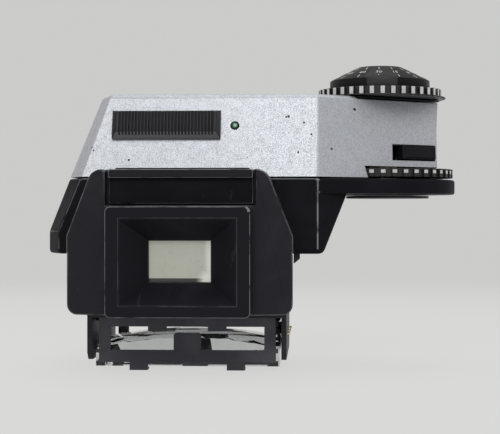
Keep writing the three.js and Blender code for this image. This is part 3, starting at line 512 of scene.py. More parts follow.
# The pane's painted light, in mm from its middle: where the painted highlight down its right edge
# starts and ends, where its painted bright corner lies and how that grows, and where the painted
# shade under the sill starts and ends; then its own glow, painted light as the pane is no lamp
PANE_RIGHT = (4.6, 6.0)
PANE_CORNER = (6.3, -4.2)
CORNER_FADE = (3.4, 1.2)
PANE_SILL = (-3.35, -3.5)
PANE_PAINTED_GLOW = 0.42

# The black finishes: material, colour, colour of the bare edges, roughness, how much of the edges
# is rubbed, grain per metre, gloss, and the colour of the faces marked as paler, which is painted
# light
BLACKS = {
    "housing": ("black_housing", "black", "rubbed", 0.48, 0.66, 5000, 0.06, None),
    "panel": ("black_panel", "black", "rubbed", 0.48, 0.7, 5000, 0.06, "rail"),
    "cover": ("black_rear_cover", "cover_black", "bare", 0.4, 0.58, 5000, 0.12, None),
    "eyecup": ("black_eyecup", "cup", "rubbed", 0.42, 0.62, 5500, 0.12, "rim"),
    "sheet": ("black_sheet", "sheet_black", "bare", 0.42, 0.46, 3500, 0.12, None),
    "plate": ("black_plate", "plate_black", "bare", 0.42, 0.46, 3500, 0.12, None),
    "ribs": ("black_ribs", "black", "bare", 0.34, 0.4, 5000, 0.12, "bevel"),
    "dial": ("black_dial", "dial_black", "bare", 0.34, 0.48, 6000, 0.12, "lug"),
    "inside": ("black_inside", "black", "black", 0.55, 0.3, 3000, 0.12, None),
    # Black over the whole prism: real paint on its sides, painted shade on its clear bottom face
    "prism_paint": ("black_prism_paint", "black", "black", 0.5, 0.3, 2500, 0.12, None),
    "lamp_rim": ("green_rim", "lamp_rim", "bare", 0.3, 0.3, 5000, 0.12, None),
}


def spots(tree, places, rear):
    """Mask of ragged spots behind one Y in metres, each given by X, Z and radius in mm."""
    coords = object_coords(tree)
    stray = math(tree, "SUBTRACT", noise(tree, coords, 2500.0), 0.5)
    stray = math(tree, "MULTIPLY", stray, SPOT_STRAY)
    flat, mask = flattened(tree, coords), None
    for x, z, radius in places:
        away = math(tree, "ADD", away_from(tree, flat, (x * MM, z * MM)), stray)
        spot = math(tree, "LESS_THAN", away, radius * MM)
        mask = spot if mask is None else math(tree, "MAXIMUM", mask, spot)
    depth = add_node(tree, "ShaderNodeSeparateXYZ", {0: coords}).outputs["Y"]
    behind = math(tree, "LESS_THAN", math(tree, "ADD", depth, stray), rear)
    return math(tree, "MULTIPLY", mask, behind)


def silver_paint(colours, sizes):
    """Speckled silver paint with small chips down to the black base."""
    material, tree, shader = new_material("silver_speckle", Metallic=0.62)
    coords = object_coords(tree)
    speck = math(tree, "MULTIPLY", noise(tree, coords, sizes.speck_scale, 1.0, 0.6), 0.85)
    cloud = math(tree, "MULTIPLY", noise(tree, coords, 700.0, 2.0, 0.5), 0.15)
    mixed = math(tree, "ADD", speck, cloud)
    mask = remap(tree, mixed, 0.34, 0.60)
    paint = blend_colour(tree, mask, colours.silver_dark, colours.silver)
    chipped = spots(tree, CHIPS, CHIPS_REAR)
    feed(tree, shader, Base_Color=blend_colour(tree, chipped, paint, colours.chip_and_painted_shade),
         Roughness=remap(tree, mask, 0, 1, 0.60, 0.46))
    bump(tree, shader, math(tree, "SUBTRACT", mixed, chipped), SPECK_DEEP, 0.6)
    return material


def black_finish(colours, look):
    """Satin black with a fine grain, smudges, bare edges and, on some, faces painted paler as
    painted light.
    """
    name, paint, edge, roughness, amount, grain, gloss, pale = BLACKS[look]
    colour, bare = getattr(colours, paint), getattr(colours, edge)
    material, tree, shader = new_material(name, Specular_IOR_Level=gloss)
    marks = effect(tree, "handling_marks")
    rubbed = effect(tree, "rubbed_edges", Amount=amount, Scale=160.0)["Mask"]
    lighter = tuple(min(1.0, part * LIGHTER + LIFTED) for part in colour)
    smudged = math(tree, "MULTIPLY", marks["Smudge"], SMUDGE_SHARE)
    scratched = math(tree, "MULTIPLY", marks["Scratch"], SCRATCH_SHARE)
    final = blend_colour(tree, smudged, colour, lighter)
    for mask in (scratched, rubbed):
        final = blend_colour(tree, mask, final, bare)
    # Painted light: the marked faces are painted paler, as if lit
    if pale:
        final = blend_colour(tree, face_mark(tree, "tip"), final, getattr(colours, pale))
    if look == "eyecup":
        final = blend_colour(tree, spots(tree, SCUFFS, SCUFFS_REAR), final, bare)
    feed(tree, shader, Base_Color=final,
         Roughness=remap(tree, marks["Smudge"], 0, 1, roughness, roughness + 0.12))
    grain_bump(tree, shader, grain, GRAIN_DEEP, 0.35)
    return material


def metal_finish(name, colour, dull, roughness):
    """Bare metal with patches of tarnish."""
    material, tree, shader = new_material(name, Metallic=1.0)
    patch = remap(tree, noise(tree, object_coords(tree), 700.0, 4.0, 0.6), 0.35, 0.7)
    feed(tree, shader, Base_Color=blend_colour(tree, patch, colour, dull),
         Roughness=remap(tree, patch, 0, 1, roughness, roughness + 0.18))
    grain_bump(tree, shader, 6000.0, FINE_DEEP, 0.3)
    return material


def knurled_finish(colours):
    """Black ring whose tooth tips are turned bright."""
    material, tree, shader = new_material("knurled_rim")
    wear = remap(tree, noise(tree, object_coords(tree), 900.0, 3.0, 0.6), 0.3, 0.7, 0.75, 1.0)
    bright = math(tree, "MULTIPLY", face_mark(tree, "tip"), wear)
    rubbed = effect(tree, "rubbed_edges", Amount=0.42, Scale=900.0)["Mask"]
    mask = math(tree, "MAXIMUM", bright, math(tree, "MULTIPLY", rubbed, 0.35))
    feed(tree, shader, Base_Color=blend_colour(tree, mask, colours.ring_black, colours.tooth),
         Metallic=math(tree, "MULTIPLY", mask, 0.95),
         Roughness=remap(tree, mask, 0, 1, 0.42, 0.2))
    grain_bump(tree, shader, 5000.0, FINE_DEEP, 0.4)
    return material


def clear_glass(name, colour):
    """Clear glass with faint dust and smears in its gloss."""
    material, tree, shader = new_material(name, Transmission_Weight=1.0, IOR=1.52)
    marks = effect(tree, "handling_marks", Smudge_Scale=140.0, Scratch_Scale=900.0)
    dusty = math(tree, "ADD", math(tree, "MULTIPLY", marks["Smudge"], 0.03),
                 math(tree, "MULTIPLY", marks["Scratch"], 0.10))
    smear = tuple(part * 0.93 for part in colour)
    feed(tree, shader, Roughness=dusty,
         Base_Color=blend_colour(tree, marks["Smudge"], colour, smear))
    return material


def eyepiece_painted_light(colours):
    """Pale frosted pane in painted light: a painted highlight down its right edge and in its lower
    right corner, painted shade under its sill, and a glow though the pane is no lamp.
    """
    material, tree, shader = new_material(
        "eyepiece_pane", IOR=1.5, Coat_Weight=0.6, Coat_Roughness=0.03,
        Emission_Strength=PANE_PAINTED_GLOW)
    coords = object_coords(tree)
    parts = add_node(tree, "ShaderNodeSeparateXYZ", {0: coords}).outputs
    low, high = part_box("eyepiece_frame")
    middle = (low[0] + high[0]) / 2, (low[2] + high[2]) / 2
    right = remap(tree, parts["X"], *(middle[0] + shift * MM for shift in PANE_RIGHT))
    spot = [start + shift * MM for start, shift in zip(middle, PANE_CORNER)]
    away = away_from(tree, flattened(tree, coords), spot)
    corner = remap(tree, away, *(reach * MM for reach in CORNER_FADE))
    cloud = noise(tree, coords, 160.0, 3.0, 0.6, 0.8)
    bright = math(tree, "MAXIMUM", math(tree, "MULTIPLY", right, 0.8), corner)
    mask = math(tree, "ADD", bright, math(tree, "MULTIPLY", cloud, 0.25), True)
    pane_painted_light = blend_colour(tree, mask, colours.pane, colours.pane_painted_highlight)
    sill = remap(tree, parts["Z"], *(middle[1] + height * MM for height in PANE_SILL))
    shade = math(tree, "MULTIPLY", sill, math(tree, "SUBTRACT", 1.0, corner))
    dust = remap(tree, noise(tree, coords, 2600.0, 1.0), 0.70, 0.76)
    # Painted shade under the sill, in the chip colour; the dust specks are real
    for dark in (shade, math(tree, "MULTIPLY", dust, 0.25)):
        pane_painted_light = blend_colour(tree, dark, pane_painted_light, colours.chip_and_painted_shade)
    # The pane glows with its colours: painted light, as the pane is no lamp
    feed(tree, shader, Base_Color=pane_painted_light, Emission_Color=pane_painted_light,
         Roughness=remap(tree, cloud, 0, 1, 0.2, 0.4))
    return material


def lamp_finish(colours):
    """Green moulded lens with lighter patches."""
    material, tree, shader = new_material(
        "green_lamp", Coat_Weight=0.8, Coat_Roughness=0.05, Roughness=0.25, IOR=1.49)
    patches = noise(tree, object_coords(tree), 1500.0, 3.0, 0.6)
    feed(tree, shader, Base_Color=blend_colour(tree, patches, colours.lamp, colours.lamp_light))
    grain_bump(tree, shader, 3000.0, GRAIN_DEEP, 0.3)
    return material


def ink_finish(colours):
    """Slightly uneven white ink for the dial's marks."""
    material, tree, shader = new_material("dial_ink", Roughness=0.5)
    whole = remap(tree, noise(tree, object_coords(tree), 2200.0, 3.0, 0.6), 0.3, 0.6)
    feed(tree, shader, Base_Color=blend_colour(tree, whole, colours.ink_worn, colours.ink))
    return material


def board_finish(colours):
    """Brown board with a woven look."""
    material, tree, shader = new_material("brown_board", Roughness=0.6)
    weave = add_node(tree, "ShaderNodeTexWave", {
        "Vector": object_coords(tree), "Scale": 500.0, "Distortion": 2.0, "Detail": 2.0})
    height = weave.outputs["Fac"]
    dark = tuple(part * 0.7 for part in colours.board)
    feed(tree, shader, Base_Color=blend_colour(tree, height, colours.board, dark))
    bump(tree, shader, height, GRAIN_DEEP, 0.3)
    return material


finishes = {}


def make_finish(look):
    """Makes one of the finder's finishes."""
    colours = bpy.context.scene.finder_colours
    if look in BLACKS:
        return black_finish(colours, look)
    if look == "silver":
        return silver_paint(colours, bpy.context.scene.finder_sizes)
    if look == "brass":
        return metal_finish("worn_brass", colours.brass, colours.brass_dull, 0.25)
    if look == "steel":
        return metal_finish("plain_steel", colours.steel, colours.steel_dull, 0.28)
    if look in ("condenser", "prism"):
        return clear_glass(look + "_glass", colours.glass)
    makers = {
        "knurled": knurled_finish, "pane": eyepiece_painted_light, "lamp": lamp_finish, "ink": ink_finish,
        "board": board_finish,
    }
    return makers[look](colours)


def finish(look):
    """One of the finder's finishes, made on first use."""
    if look not in finishes:
        finishes[look] = make_finish(look)
    return finishes[look]


# --- Sizes and colours that a user may change ---

def length(name, description, default):
    """A length that a user may change."""
    return FloatProperty(
        name=name, description=description, default=default, min=0.0, unit="LENGTH",
        subtype="DISTANCE", precision=5)


def colour(name, description, default):
    """A colour that a user may change."""
    return FloatVectorProperty(
        name=name, description=description, default=default, size=3, min=0.0, max=1.0,
        subtype="COLOR")


class FinderSizes(bpy.types.PropertyGroup):
    """Sizes of the finder's edges, marks and paint grain."""
    cover_round: length("Cover edge", "Radius of the silver cover's edges", 0.0003)
    housing_round: length("Housing edge", "Radius of the black housing's edges", 0.0005)
    wing_round: length("Wing edge", "Radius of the rear cover's edges", 0.00055)
    frame_round: length("Eyepiece edge", "Radius of the eyepiece frame's edges", 0.0003)
    sheet_round: length("Sheet edge", "Radius of the sheet metal's edges", 0.00012)
    tooth_round: length("Tooth edge", "Radius of the knurled teeth", 0.00008)
    rib_round: length("Rib edge", "Radius of the battery cover's ribs", 0.00007)
    tick_width: length("Tick width", "Width of a tick on the dial", 0.00016)
    ink_thick: length("Ink thickness", "How far the dial's ink stands proud", 0.00003)
    number_height: length("Number height", "Height of a number on the dial", 0.00105)
    speck_scale: FloatProperty(
        name="Speck scale", description="Specks per metre in the silver paint", default=5200.0,
        min=1.0)
    spin_steps: IntProperty(
        name="Spin steps", description="Steps round a contact", default=32, min=12, max=256)


class FinderColours(bpy.types.PropertyGroup):
    """Colours of the finder's finishes."""
    silver: colour("Silver", "Light flakes of the silver paint", (0.64, 0.66, 0.70))
    silver_dark: colour("Silver shade", "Dark flakes of the silver paint", (0.455, 0.47, 0.50))
    # Also the painted shade under the eyepiece pane's sill, and the pane's dust specks
    chip_and_painted_shade: colour("Chip", "Bare spot in the paint", (0.02, 0.02, 0.022))
    black: colour("Housing black", "Lower housing", (0.009, 0.0088, 0.012))
    cover_black: colour("Rear cover black", "Rear cover with wings", (0.0225, 0.0225, 0.0285))
    sheet_black: colour("Sheet black", "Painted sheet metal", (0.04, 0.04, 0.046))
    plate_black: colour("Frame black", "Sheet frames of the condenser", (0.12, 0.119, 0.139))
    # Painted light and shade: the frame's front faces are painted lighter than its sides and
    # slopes into the recess
    rim: colour("Eyepiece rim", "Front of the eyepiece frame", (0.0108, 0.0106, 0.0152))
    cup: colour("Eyepiece inside", "Sides and slopes of its frame", (0.0102, 0.01, 0.0142))
    # Painted light: the rail's front faces are painted lighter than the panel, as if lit
    rail: colour("Panel rail", "Front of the rail over the eyepiece", (0.024, 0.024, 0.029))
    # Painted light: the battery cover's bevels are painted pale as if lit, the lower one fully
    bevel: colour("Pale bevel", "Lower bevel of the battery cover", (0.15, 0.15, 0.155))
    # Painted sheen: the lug's faces towards the eye are painted paler
    lug: colour("Pale lug", "Finger rest on the dial", (0.055, 0.055, 0.058))
    dial_black: colour("Dial black", "Shutter dial", (0.011, 0.011, 0.012))
    ring_black: colour("Ring black", "Between the knurled teeth", (0.014, 0.013, 0.013))
    bare: colour("Bare edge", "Edges where the black has rubbed off", (0.15, 0.15, 0.16))
    rubbed: colour("Rubbed edge", "The same on housing, panel and eyepiece", (0.26, 0.26, 0.27))
    tooth: colour("Tooth", "Turned tips of the teeth", (0.86, 0.86, 0.86))
    brass: colour("Brass", "Contacts", (0.74, 0.66, 0.48))
    brass_dull: colour("Dull brass", "Tarnish on the contacts", (0.42, 0.33, 0.20))
    steel: colour("Steel", "Screws and shafts", (0.62, 0.62, 0.63))
    steel_dull: colour("Dull steel", "Duller patches of steel", (0.36, 0.36, 0.38))
    glass: colour("Glass", "Condenser and eyepiece lens", (0.70, 0.715, 0.71))
    # The pane's colours are painted light, as the pane glows with them; the pale one is its
    # painted highlight
    pane: colour("Pane", "Pane of the eyepiece", (0.335, 0.34, 0.285))
    pane_painted_highlight: colour("Pane edge", "Bright side of the pane", (0.60, 0.60, 0.53))
    lamp: colour("Lamp", "Battery lamp", (0.05, 0.19, 0.09))
    lamp_rim: colour("Lamp rim", "Rim round the battery lamp", (0.012, 0.055, 0.024))
    lamp_light: colour("Lamp light", "Bright parts of the lamp", (0.14, 0.36, 0.20))
    ink: colour("Ink", "Marks on the dial", (0.82, 0.82, 0.80))
    ink_worn: colour("Worn ink", "Thin parts of the marks", (0.42, 0.42, 0.41))
    board: colour("Board", "Circuit board", (0.075, 0.047, 0.026))


class FinderStudio(bpy.types.PropertyGroup):
    """Camera and backdrop."""
    eye: FloatVectorProperty(
        name="Camera", description="Where the camera stands", default=(0.027, -0.3126, 0.0323),
        size=3, subtype="XYZ", unit="LENGTH")
    yaw: FloatProperty(
        name="Yaw", description="Turn of the camera to its left", default=radians(2.617),
        subtype="ANGLE")
    pitch: FloatProperty(
        name="Pitch", description="Dip of the camera", default=radians(0.082), subtype="ANGLE")
    focal: FloatProperty(
        name="Focal length", description="Focal length for a 36 mm wide sensor, in millimetres",
        default=100.8, min=10.0)
    backdrop: FloatProperty(
        name="Backdrop", description="Grey of the backdrop, 1 is white", default=0.60, min=0.0,
        max=1.0)
    floor: FloatProperty(
        name="Floor", description="Grey of the floor, 1 is white", default=0.77, min=0.0, max=1.0)


# --- Pieces ---

def centre_of(node):
    """Middle of a CAD node's box."""
    low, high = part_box(node)
    return Vector([(a + b) / 2 for a, b in zip(low, high)])


def widen(shape, share):
    """Scales what lies round the battery lamp, away from its axis."""
    centre = centre_of("indicator_lens")
    for vert in shape.verts:
        arm = vert.co - centre
        depth = FACET_OUT * arm.dot(FACET_OUT)
        if (arm - depth).length < LAMP_REACH and depth.length < LAMP_REACH:
            vert.co = centre + depth + (arm - depth) * share


def mark_tips(shape, centre, radius, foot, head):
    """Marks a knurled rim's outward faces between two heights, where it is turned bright."""
    for height in (foot, head):
        bmesh.ops.bisect_plane(
            shape, geom=shape.verts[:] + shape.edges[:] + shape.faces[:], dist=MERGE,
            plane_co=(0, 0, height), plane_no=(0, 0, 1))
    tip = shape.faces.layers.float["tip"]
    for face in shape.faces:
        middle = face.calc_center_median()
        arm = middle - centre
        arm.z = 0
        outward = face.normal.dot(arm.normalized()) > TIP_FRONT
        if outward and arm.length > radius and foot < middle.z < head:
            face[tip] = 1.0


class FinderPiece:
    """What every operator of the finder shares."""
    bl_options = {"REGISTER", "UNDO"}

    def execute(self, context):
        self.build(context.scene.finder_sizes)
        return {"FINISHED"}


class FINDER_OT_cover(FinderPiece, bpy.types.Operator):
    """Paints the silver top cover and makes the plate under the dial"""
    bl_idname = "finder.cover"
    bl_label = "Top cover"

    def build(self, sizes):
        cover = merged("top_cover")
        widen(cover, HOLE_NARROWER)
        soften(cover, sizes.cover_round, 3, LOW_BEND, STEEP_BEND, self.outer)
        replace("top_cover", cover, "silver")
        dress("dial_seat_plate", "dial", sizes.sheet_round)
        for node, share, segments, look, slot in (
                ("indicator_bezel", HOLE_NARROWER, 2, "lamp_rim", "black_plastic"),
                ("indicator_lens", LENS_WIDER, 4, "lamp", "green_lens")):
            shape = merged(node)
            widen(shape, share)
            soften(shape, EDGES[node] * MM, segments)
            replace(node, shape, look)

    def outer(self, edge):
        """Whether an edge is one of the long outer creases, clear of the dial."""
        if edge.calc_length() < CREASE or max(vert.co.x for vert in edge.verts) > CREASE_END:
            return False
        return all(
            face.normal.dot(face.calc_center_median() - COVER_MIDDLE) > 0
            for face in edge.link_faces)


class FINDER_OT_housing(FinderPiece, bpy.types.Operator):
    """Makes the black lower housing, the collar and what is fixed to them"""
    bl_idname = "finder.housing"
    bl_label = "Housing and collar"

    def build(self, sizes):
        housing = merged("lower_housing")
        soften(housing, sizes.housing_round, 3, LOW_BEND)
        worn = housing.faces.layers.float["worn"]
        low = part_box("lower_housing")[0]
        for face in housing.faces:
            spot = face.calc_center_median()
            if spot.x > WEAR_END or spot.z < low[2] + WEAR_FOOT:
                face[worn] = 0.0
            elif spot.x < 0 or spot.y > 0:
                face[worn] *= FAR_WEAR
        replace("lower_housing", housing, "housing")
        for node in ("mount_collar", "arm_under_plate"):
            dress(node, "sheet", sizes.sheet_round)
        dress("contact_block", "inside")
        dress("lock_catch", "sheet")
        for count in range(1, 5):
            dress(f"collar_screw_{count}", "steel")


class FINDER_OT_rear_cover(FinderPiece, bpy.types.Operator):
    """Makes the rear cover with its wings and the panel above the eyepiece"""
    bl_idname = "finder.rear_cover"
    bl_label = "Rear cover"

    def build(self, sizes):
        dress("rear_cover", "cover", sizes.wing_round, 3)
        panel = merged("upper_panel")
        soften(panel, sizes.frame_round, 3)
        tip, front = panel.faces.layers.float["tip"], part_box("upper_panel")[0][1]
        # The rail's front faces are marked to be painted lighter: painted light
        for face in panel.faces:
            near = face.calc_center_median().y < front + RAIL_DEEP
            face[tip] = float(near and face.normal.y < -FRONT)
        replace("upper_panel", panel, "panel")
        dress("panel_back", "cover", sizes.frame_round)


class FINDER_OT_eyepiece(FinderPiece, bpy.types.Operator):
    """Makes the eyepiece frame, its pane and its tunnel"""
    bl_idname = "finder.eyepiece"
    bl_label = "Eyepiece"

    def build(self, sizes):
        rim = merged("eyepiece_frame")
        soften(rim, sizes.frame_round, 3)
        low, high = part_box("eyepiece_frame")
        worn, tip = rim.faces.layers.float["worn"], rim.faces.layers.float["tip"]
        for face in rim.faces:
            spot = face.calc_center_median()
            if all(low[i] + RIM_WIDE < spot[i] < high[i] - RIM_WIDE for i in (0, 2)):
                face[worn] *= INNER_WEAR
            elif spot.x > high[0] - RIM_WIDE and spot.y < low[1] + RIM_WIDE:
                face[worn] *= SIDE_WEAR
            # Front faces are marked to be painted lighter than the recess: painted light
            face[tip] = float(face.normal.y < -FRONT)
        replace("eyepiece_frame", rim, "eyecup")
        dress("eyepiece_pane", "pane")
        dress("eyepiece_tunnel", "sheet", sizes.sheet_round)


class FINDER_OT_condenser(FinderPiece, bpy.types.Operator):
    """Makes the condenser glass and the sheet frames that hold it"""
    bl_idname = "finder.condenser"
    bl_label = "Condenser"

    def build(self, sizes):
        dress("condenser_lens", "condenser")
        for node in ("condenser_frame_rear", "condenser_frame_front"):
            dress(node, "plate")


class FINDER_OT_rings(FinderPiece, bpy.types.Operator):
    """Makes the knurled ring under the dial and the scale wheel in the arm"""
    bl_idname = "finder.rings"
    bl_label = "Knurled rings"

    def build(self, sizes):
        for node, (lip, foot, head) in TOOTH_TIPS.items():
            shape = merged(node, whole=False)
            centre = centre_of(node)
            reach = max((vert.co - centre).xy.length for vert in shape.verts)
            soften(shape, sizes.tooth_round, 1)
            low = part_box(node)[0][2]
            mark_tips(shape, centre, reach - lip * MM, low + foot * MM, low + head * MM)
            replace(node, shape, "knurled")


class FINDER_OT_dial(FinderPiece, bpy.types.Operator):
    """Makes the shutter dial with its ticks and numbers"""
    bl_idname = "finder.dial"
    bl_label = "Shutter dial"

    def build(self, sizes):
        dome = merged("dome_dial")
        soften(dome, EDGES["dome_dial"] * MM)
        tip = dome.faces.layers.float["tip"]
        centre = centre_of("dome_dial")
        # The lug's faces towards the eye are marked for a painted sheen
        for face in dome.faces:
            arm = face.calc_center_median() - centre
            if abs(arm.x) < LUG_HALF and arm.y < -LUG_OUT and face.normal.y < -LUG_FRONT:
                face[tip] = 1.0
        replace("dome_dial", dome, "dial")
        marks = bmesh.new()
        for count, number in enumerate(NUMBERS):
            turn = DIAL_FRONT + (count - len(NUMBERS) // 2) * DIAL_PITCH
            self.write(marks, number, self.on_cone(turn, CONE_MIDDLE, sizes), sizes)
            for share in TICK_SHARES:
                self.tick(marks, self.on_cone(turn, share, sizes), sizes)
        place("dial_marks", marks, finish("ink"), "dial")

    def on_cone(self, turn, share, sizes):
        """Where a mark lies: along the rim, up the slope and out of the cone."""
        low = Vector((DIAL_AXIS[0], DIAL_AXIS[1], CONE_LOW[1])) * MM
        out = Vector((cos(turn), sin(turn), 0))
        rise = Vector((0, 0, 1))
        run, climb = CONE_LOW[0] - CONE_TOP[0], CONE_TOP[1] - CONE_LOW[1]
        slope = (rise * climb - out * run).normalized()
        normal = (out * climb + rise * run).normalized()
        along = hypot(run, climb) * share * MM
        spot = low + out * CONE_LOW[0] * MM + slope * along + normal * sizes.ink_thick
        axes = Matrix((rise.cross(out), slope, normal)).transposed()
        return Matrix.Translation(spot) @ axes.to_4x4()

    def tick(self, marks, spot, sizes):
        """Adds a thin bar up the slope."""
        box = Matrix.Diagonal((sizes.tick_width, TICK_LENGTH * MM, 2 * sizes.ink_thick, 1))
        bmesh.ops.create_cube(marks, size=1, matrix=spot @ box)

    def write(self, marks, number, spot, sizes):
        """Adds a number as flat raised text."""
        text = bpy.data.curves.new("number", "FONT")
        text.body = number
        text.size = sizes.number_height * FONT_SHARE
        text.align_x = text.align_y = "CENTER"
        text.extrude = sizes.ink_thick
        text.resolution_u = 3
        holder = add_object("number", text)
        bpy.context.view_layer.update()
        flat = bpy.data.meshes.new_from_object(holder.evaluated_get(
            bpy.context.evaluated_depsgraph_get()))
        flat.transform(spot)
        marks.from_mesh(flat)
        bpy.data.objects.remove(holder)
        bpy.data.curves.remove(text)
        bpy.data.meshes.remove(flat)


class FINDER_OT_battery(FinderPiece, bpy.types.Operator):
    """Makes the ribbed battery cover"""
    bl_idname = "finder.battery"
    bl_label = "Battery cover"

    def build(self, sizes):
        cover = merged("battery_cover")
        low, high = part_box("battery_cover")
        proud = max(vert.co.dot(FACET_OUT) for vert in cover.verts)
        middle = sum(vert.co.dot(FACET_UP) for vert in cover.verts) / len(cover.verts)
        for vert in cover.verts:
            lean = max(0.0, vert.co.dot(FACET_OUT) - proud + BEVEL_HIGH) / BEVEL_HIGH
            if vert.co.dot(FACET_UP) < middle:
                vert.co += FACET_UP * BEVEL_LOWER * lean
            for edge, way in ((low[0], 1), (high[0], -1)):
                if abs(vert.co.x - edge) < BEVEL_HIGH:
                    vert.co.x += way * BEVEL_SIDE * lean
        cover.normal_update()
        soften(cover, sizes.rib_round)
        tip = cover.faces.layers.float["tip"]
        # Painted light: the lower bevel is painted pale as if lit from below, and the right side
        # bevel paler than the left as if lit from the right; the rib crests are painted a little
        # paler
        for face in cover.faces:
            side, back, up = face.normal
            level = face.calc_center_median().dot(FACET_OUT)
            if back < LOWER_Y and up < LOWER_Z:
                face[tip] = 1.0
            elif abs(side) > SIDE_X and back < SIDE_Y and face.calc_area() > SIDE_BEVEL:
                face[tip] = PAINTED_LIGHT_RIGHT if side > 0 else PAINTED_LIGHT_LEFT
            elif face.normal.dot(FACET_OUT) > FACET_FRONT and level > proud - MERGE:
                face[tip] = PALE_RIBS
        replace("battery_cover", cover, "ribs")


class FINDER_OT_switch(FinderPiece, bpy.types.Operator):
    """Makes the sliding meter switch"""
    bl_idname = "finder.switch"
    bl_label = "Meter switch"

    def build(self, sizes):
        dress("meter_switch", "ribs")


class FINDER_OT_contacts(FinderPiece, bpy.types.Operator):
    """Makes the three sprung contacts with their rounded tips"""
    bl_idname = "finder.contacts"
    bl_label = "Contacts"

    def build(self, sizes):
        for count in range(1, 4):
            node = f"contact_pin_{count}"
            low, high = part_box(node)
            start = centre_of(node)
            start.x = low[0]
            radius, long = (high[2] - low[2]) / 2, high[0] - low[0]
            profile = [(radius * wide, long * far) for wide, far in CONTACT_OUTLINE]
            pin = lathe(profile, start, sizes.spin_steps)
            place(f"contact_{count}", pin, finish("brass"), body_names[node], (node,))


class FINDER_OT_works(FinderPiece, bpy.types.Operator):
    """Gives the solids inside the finder their finishes"""
    bl_idname = "finder.works"
    bl_label = "Inner works"

    def build(self, sizes):
        for name, nodes in INNER_FINISHES.items():
            for node in nodes:
                solid = frame["nodes"][node]
                solid.data.materials.clear()
                solid.data.materials.append(finish(name))


# --- Studio ---

def warm_grey(level):
    """A grey with slightly less blue."""
    return level, level, level * 0.99, 1


def seen_rays(tree):
    """Mask of the rays that the camera sees by: straight, mirrored or through glass."""
    seen = add_node(tree, "ShaderNodeLightPath").outputs
    return math(tree, "MAXIMUM", seen["Is Camera Ray"],
                math(tree, "MAXIMUM", seen["Is Glossy Ray"], seen["Is Transmission Ray"]))


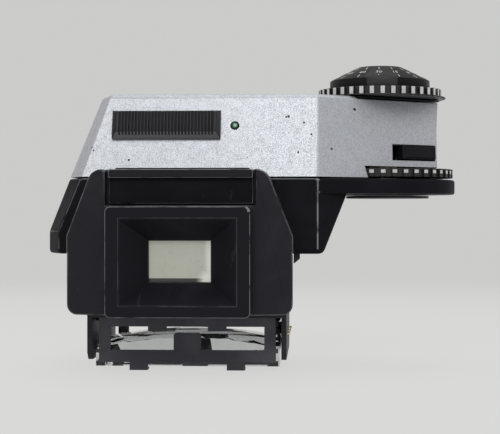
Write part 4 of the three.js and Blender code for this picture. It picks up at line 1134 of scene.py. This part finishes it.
class FINDER_OT_studio(FinderPiece, bpy.types.Operator):
    """Sets up the pale floor, the soft lamps and the camera"""
    bl_idname = "finder.studio"
    bl_label = "Studio"

    def execute(self, context):
        studio = context.scene.finder_studio
        self.floor(studio)
        self.world(context, studio)
        self.lamps()
        self.camera(context, studio)
        context.scene.view_settings.view_transform = "Standard"
        return {"FINISHED"}

    def floor(self, studio):
        """A matt disc that fades into the backdrop."""
        shape = bmesh.new()
        spot = Matrix.Translation((0, 0, cad_box[0][2] - FLOOR_GAP))
        bmesh.ops.create_circle(
            shape, cap_ends=True, segments=96, radius=FLOOR_RADIUS, matrix=spot)
        mesh = bpy.data.meshes.new("floor")
        shape.to_mesh(mesh)
        shape.free()
        material = bpy.data.materials.new("pale_floor")
        tree = empty_tree(material)
        matt = add_node(tree, "ShaderNodeBsdfDiffuse", {"Color": FLOOR_GREY})
        away = add_node(tree, "ShaderNodeVectorMath", {0: object_coords(tree)}, operation="LENGTH")
        fade = remap(tree, away.outputs["Value"], 0.0, FADE_END)
        grey = blend_colour(tree, fade, warm_grey(studio.floor), warm_grey(studio.backdrop))
        glow = add_node(tree, "ShaderNodeEmission", {"Color": grey, "Strength": 1.0})
        far = remap(tree, away.outputs["Value"], GLOW_START, GLOW_END, FLOOR_GLOW, 1.0)
        share = math(tree, "MULTIPLY", far, seen_rays(tree))
        mixed = add_node(tree, "ShaderNodeMixShader", {
            0: share, 1: matt.outputs[0], 2: glow.outputs[0]})
        out = tree.nodes.new("ShaderNodeOutputMaterial")
        tree.links.new(mixed.outputs[0], out.inputs["Surface"])
        mesh.materials.append(material)
        add_object("floor", mesh)

    def world(self, context, studio):
        """A white sky that lights the finder, and the plain backdrop that is seen."""
        world = bpy.data.worlds.new("studio")
        context.scene.world = world
        tree = empty_tree(world)
        grey = warm_grey(studio.backdrop)
        soft = add_node(tree, "ShaderNodeBackground", {"Color": (1, 1, 1, 1), "Strength": SKY})
        plain = add_node(tree, "ShaderNodeBackground", {"Color": grey, "Strength": 1.0})
        mixed = add_node(tree, "ShaderNodeMixShader", {
            0: seen_rays(tree), 1: soft.outputs[0], 2: plain.outputs[0]})
        out = tree.nodes.new("ShaderNodeOutputWorld")
        tree.links.new(mixed.outputs[0], out.inputs["Surface"])

    def lamps(self):
        """Large round lamps aimed at the finder."""
        for name, spot, size, power in LAMPS:
            light = bpy.data.lights.new(name, "AREA")
            light.shape = "DISK"
            light.size = size
            light.energy = power
            lamp = add_object(name, light)
            lamp.location = spot
            aim = LAMP_AIM - Vector(spot)
            lamp.rotation_euler = aim.to_track_quat("-Z", "Y").to_euler()

    def camera(self, context, studio):
        """The camera of the photograph."""
        lens = bpy.data.cameras.new("camera")
        lens.sensor_width = 36.0
        lens.lens = studio.focal
        lens.clip_start = 0.01
        camera = add_object("camera", lens)
        camera.location = studio.eye
        camera.rotation_euler = (radians(90) - studio.pitch, 0, studio.yaw)
        context.scene.camera = camera


class FINDER_PT_panel(bpy.types.Panel):
    """The finder's pieces, sizes and colours"""
    bl_idname = "FINDER_PT_panel"
    bl_label = "Metered prism finder"
    bl_space_type = "VIEW_3D"
    bl_region_type = "UI"
    bl_category = "Finder"

    def draw(self, context):
        for group in GROUPS:
            settings = getattr(context.scene, group)
            box = self.layout.box()
            for name in settings.bl_rna.properties.keys():
                if name not in ("rna_type", "name"):
                    box.prop(settings, name)
        for operator in OPERATORS:
            self.layout.operator(operator.bl_idname)


GROUPS = {
    "finder_sizes": FinderSizes, "finder_colours": FinderColours, "finder_studio": FinderStudio}
OPERATORS = (
    FINDER_OT_studio, FINDER_OT_cover, FINDER_OT_housing, FINDER_OT_rear_cover,
    FINDER_OT_eyepiece, FINDER_OT_condenser, FINDER_OT_rings, FINDER_OT_dial,
    FINDER_OT_battery, FINDER_OT_switch, FINDER_OT_contacts, FINDER_OT_works,
)
CLASSES = (*GROUPS.values(), *OPERATORS, FINDER_PT_panel)


def register():
    for kind in CLASSES:
        bpy.utils.register_class(kind)
    for name, kind in GROUPS.items():
        setattr(bpy.types.Scene, name, PointerProperty(type=kind))


def unregister():
    for name in GROUPS:
        delattr(bpy.types.Scene, name)
    for kind in reversed(CLASSES):
        bpy.utils.unregister_class(kind)


def main():
    register()
    bpy.ops.finder.studio()
    bpy.ops.finder.cover()
    bpy.ops.finder.housing()
    bpy.ops.finder.rear_cover()
    bpy.ops.finder.eyepiece()
    bpy.ops.finder.condenser()
    bpy.ops.finder.rings()
    bpy.ops.finder.dial()
    bpy.ops.finder.battery()
    bpy.ops.finder.switch()
    bpy.ops.finder.contacts()
    bpy.ops.finder.works()


if __name__ == "__main__":
    main()
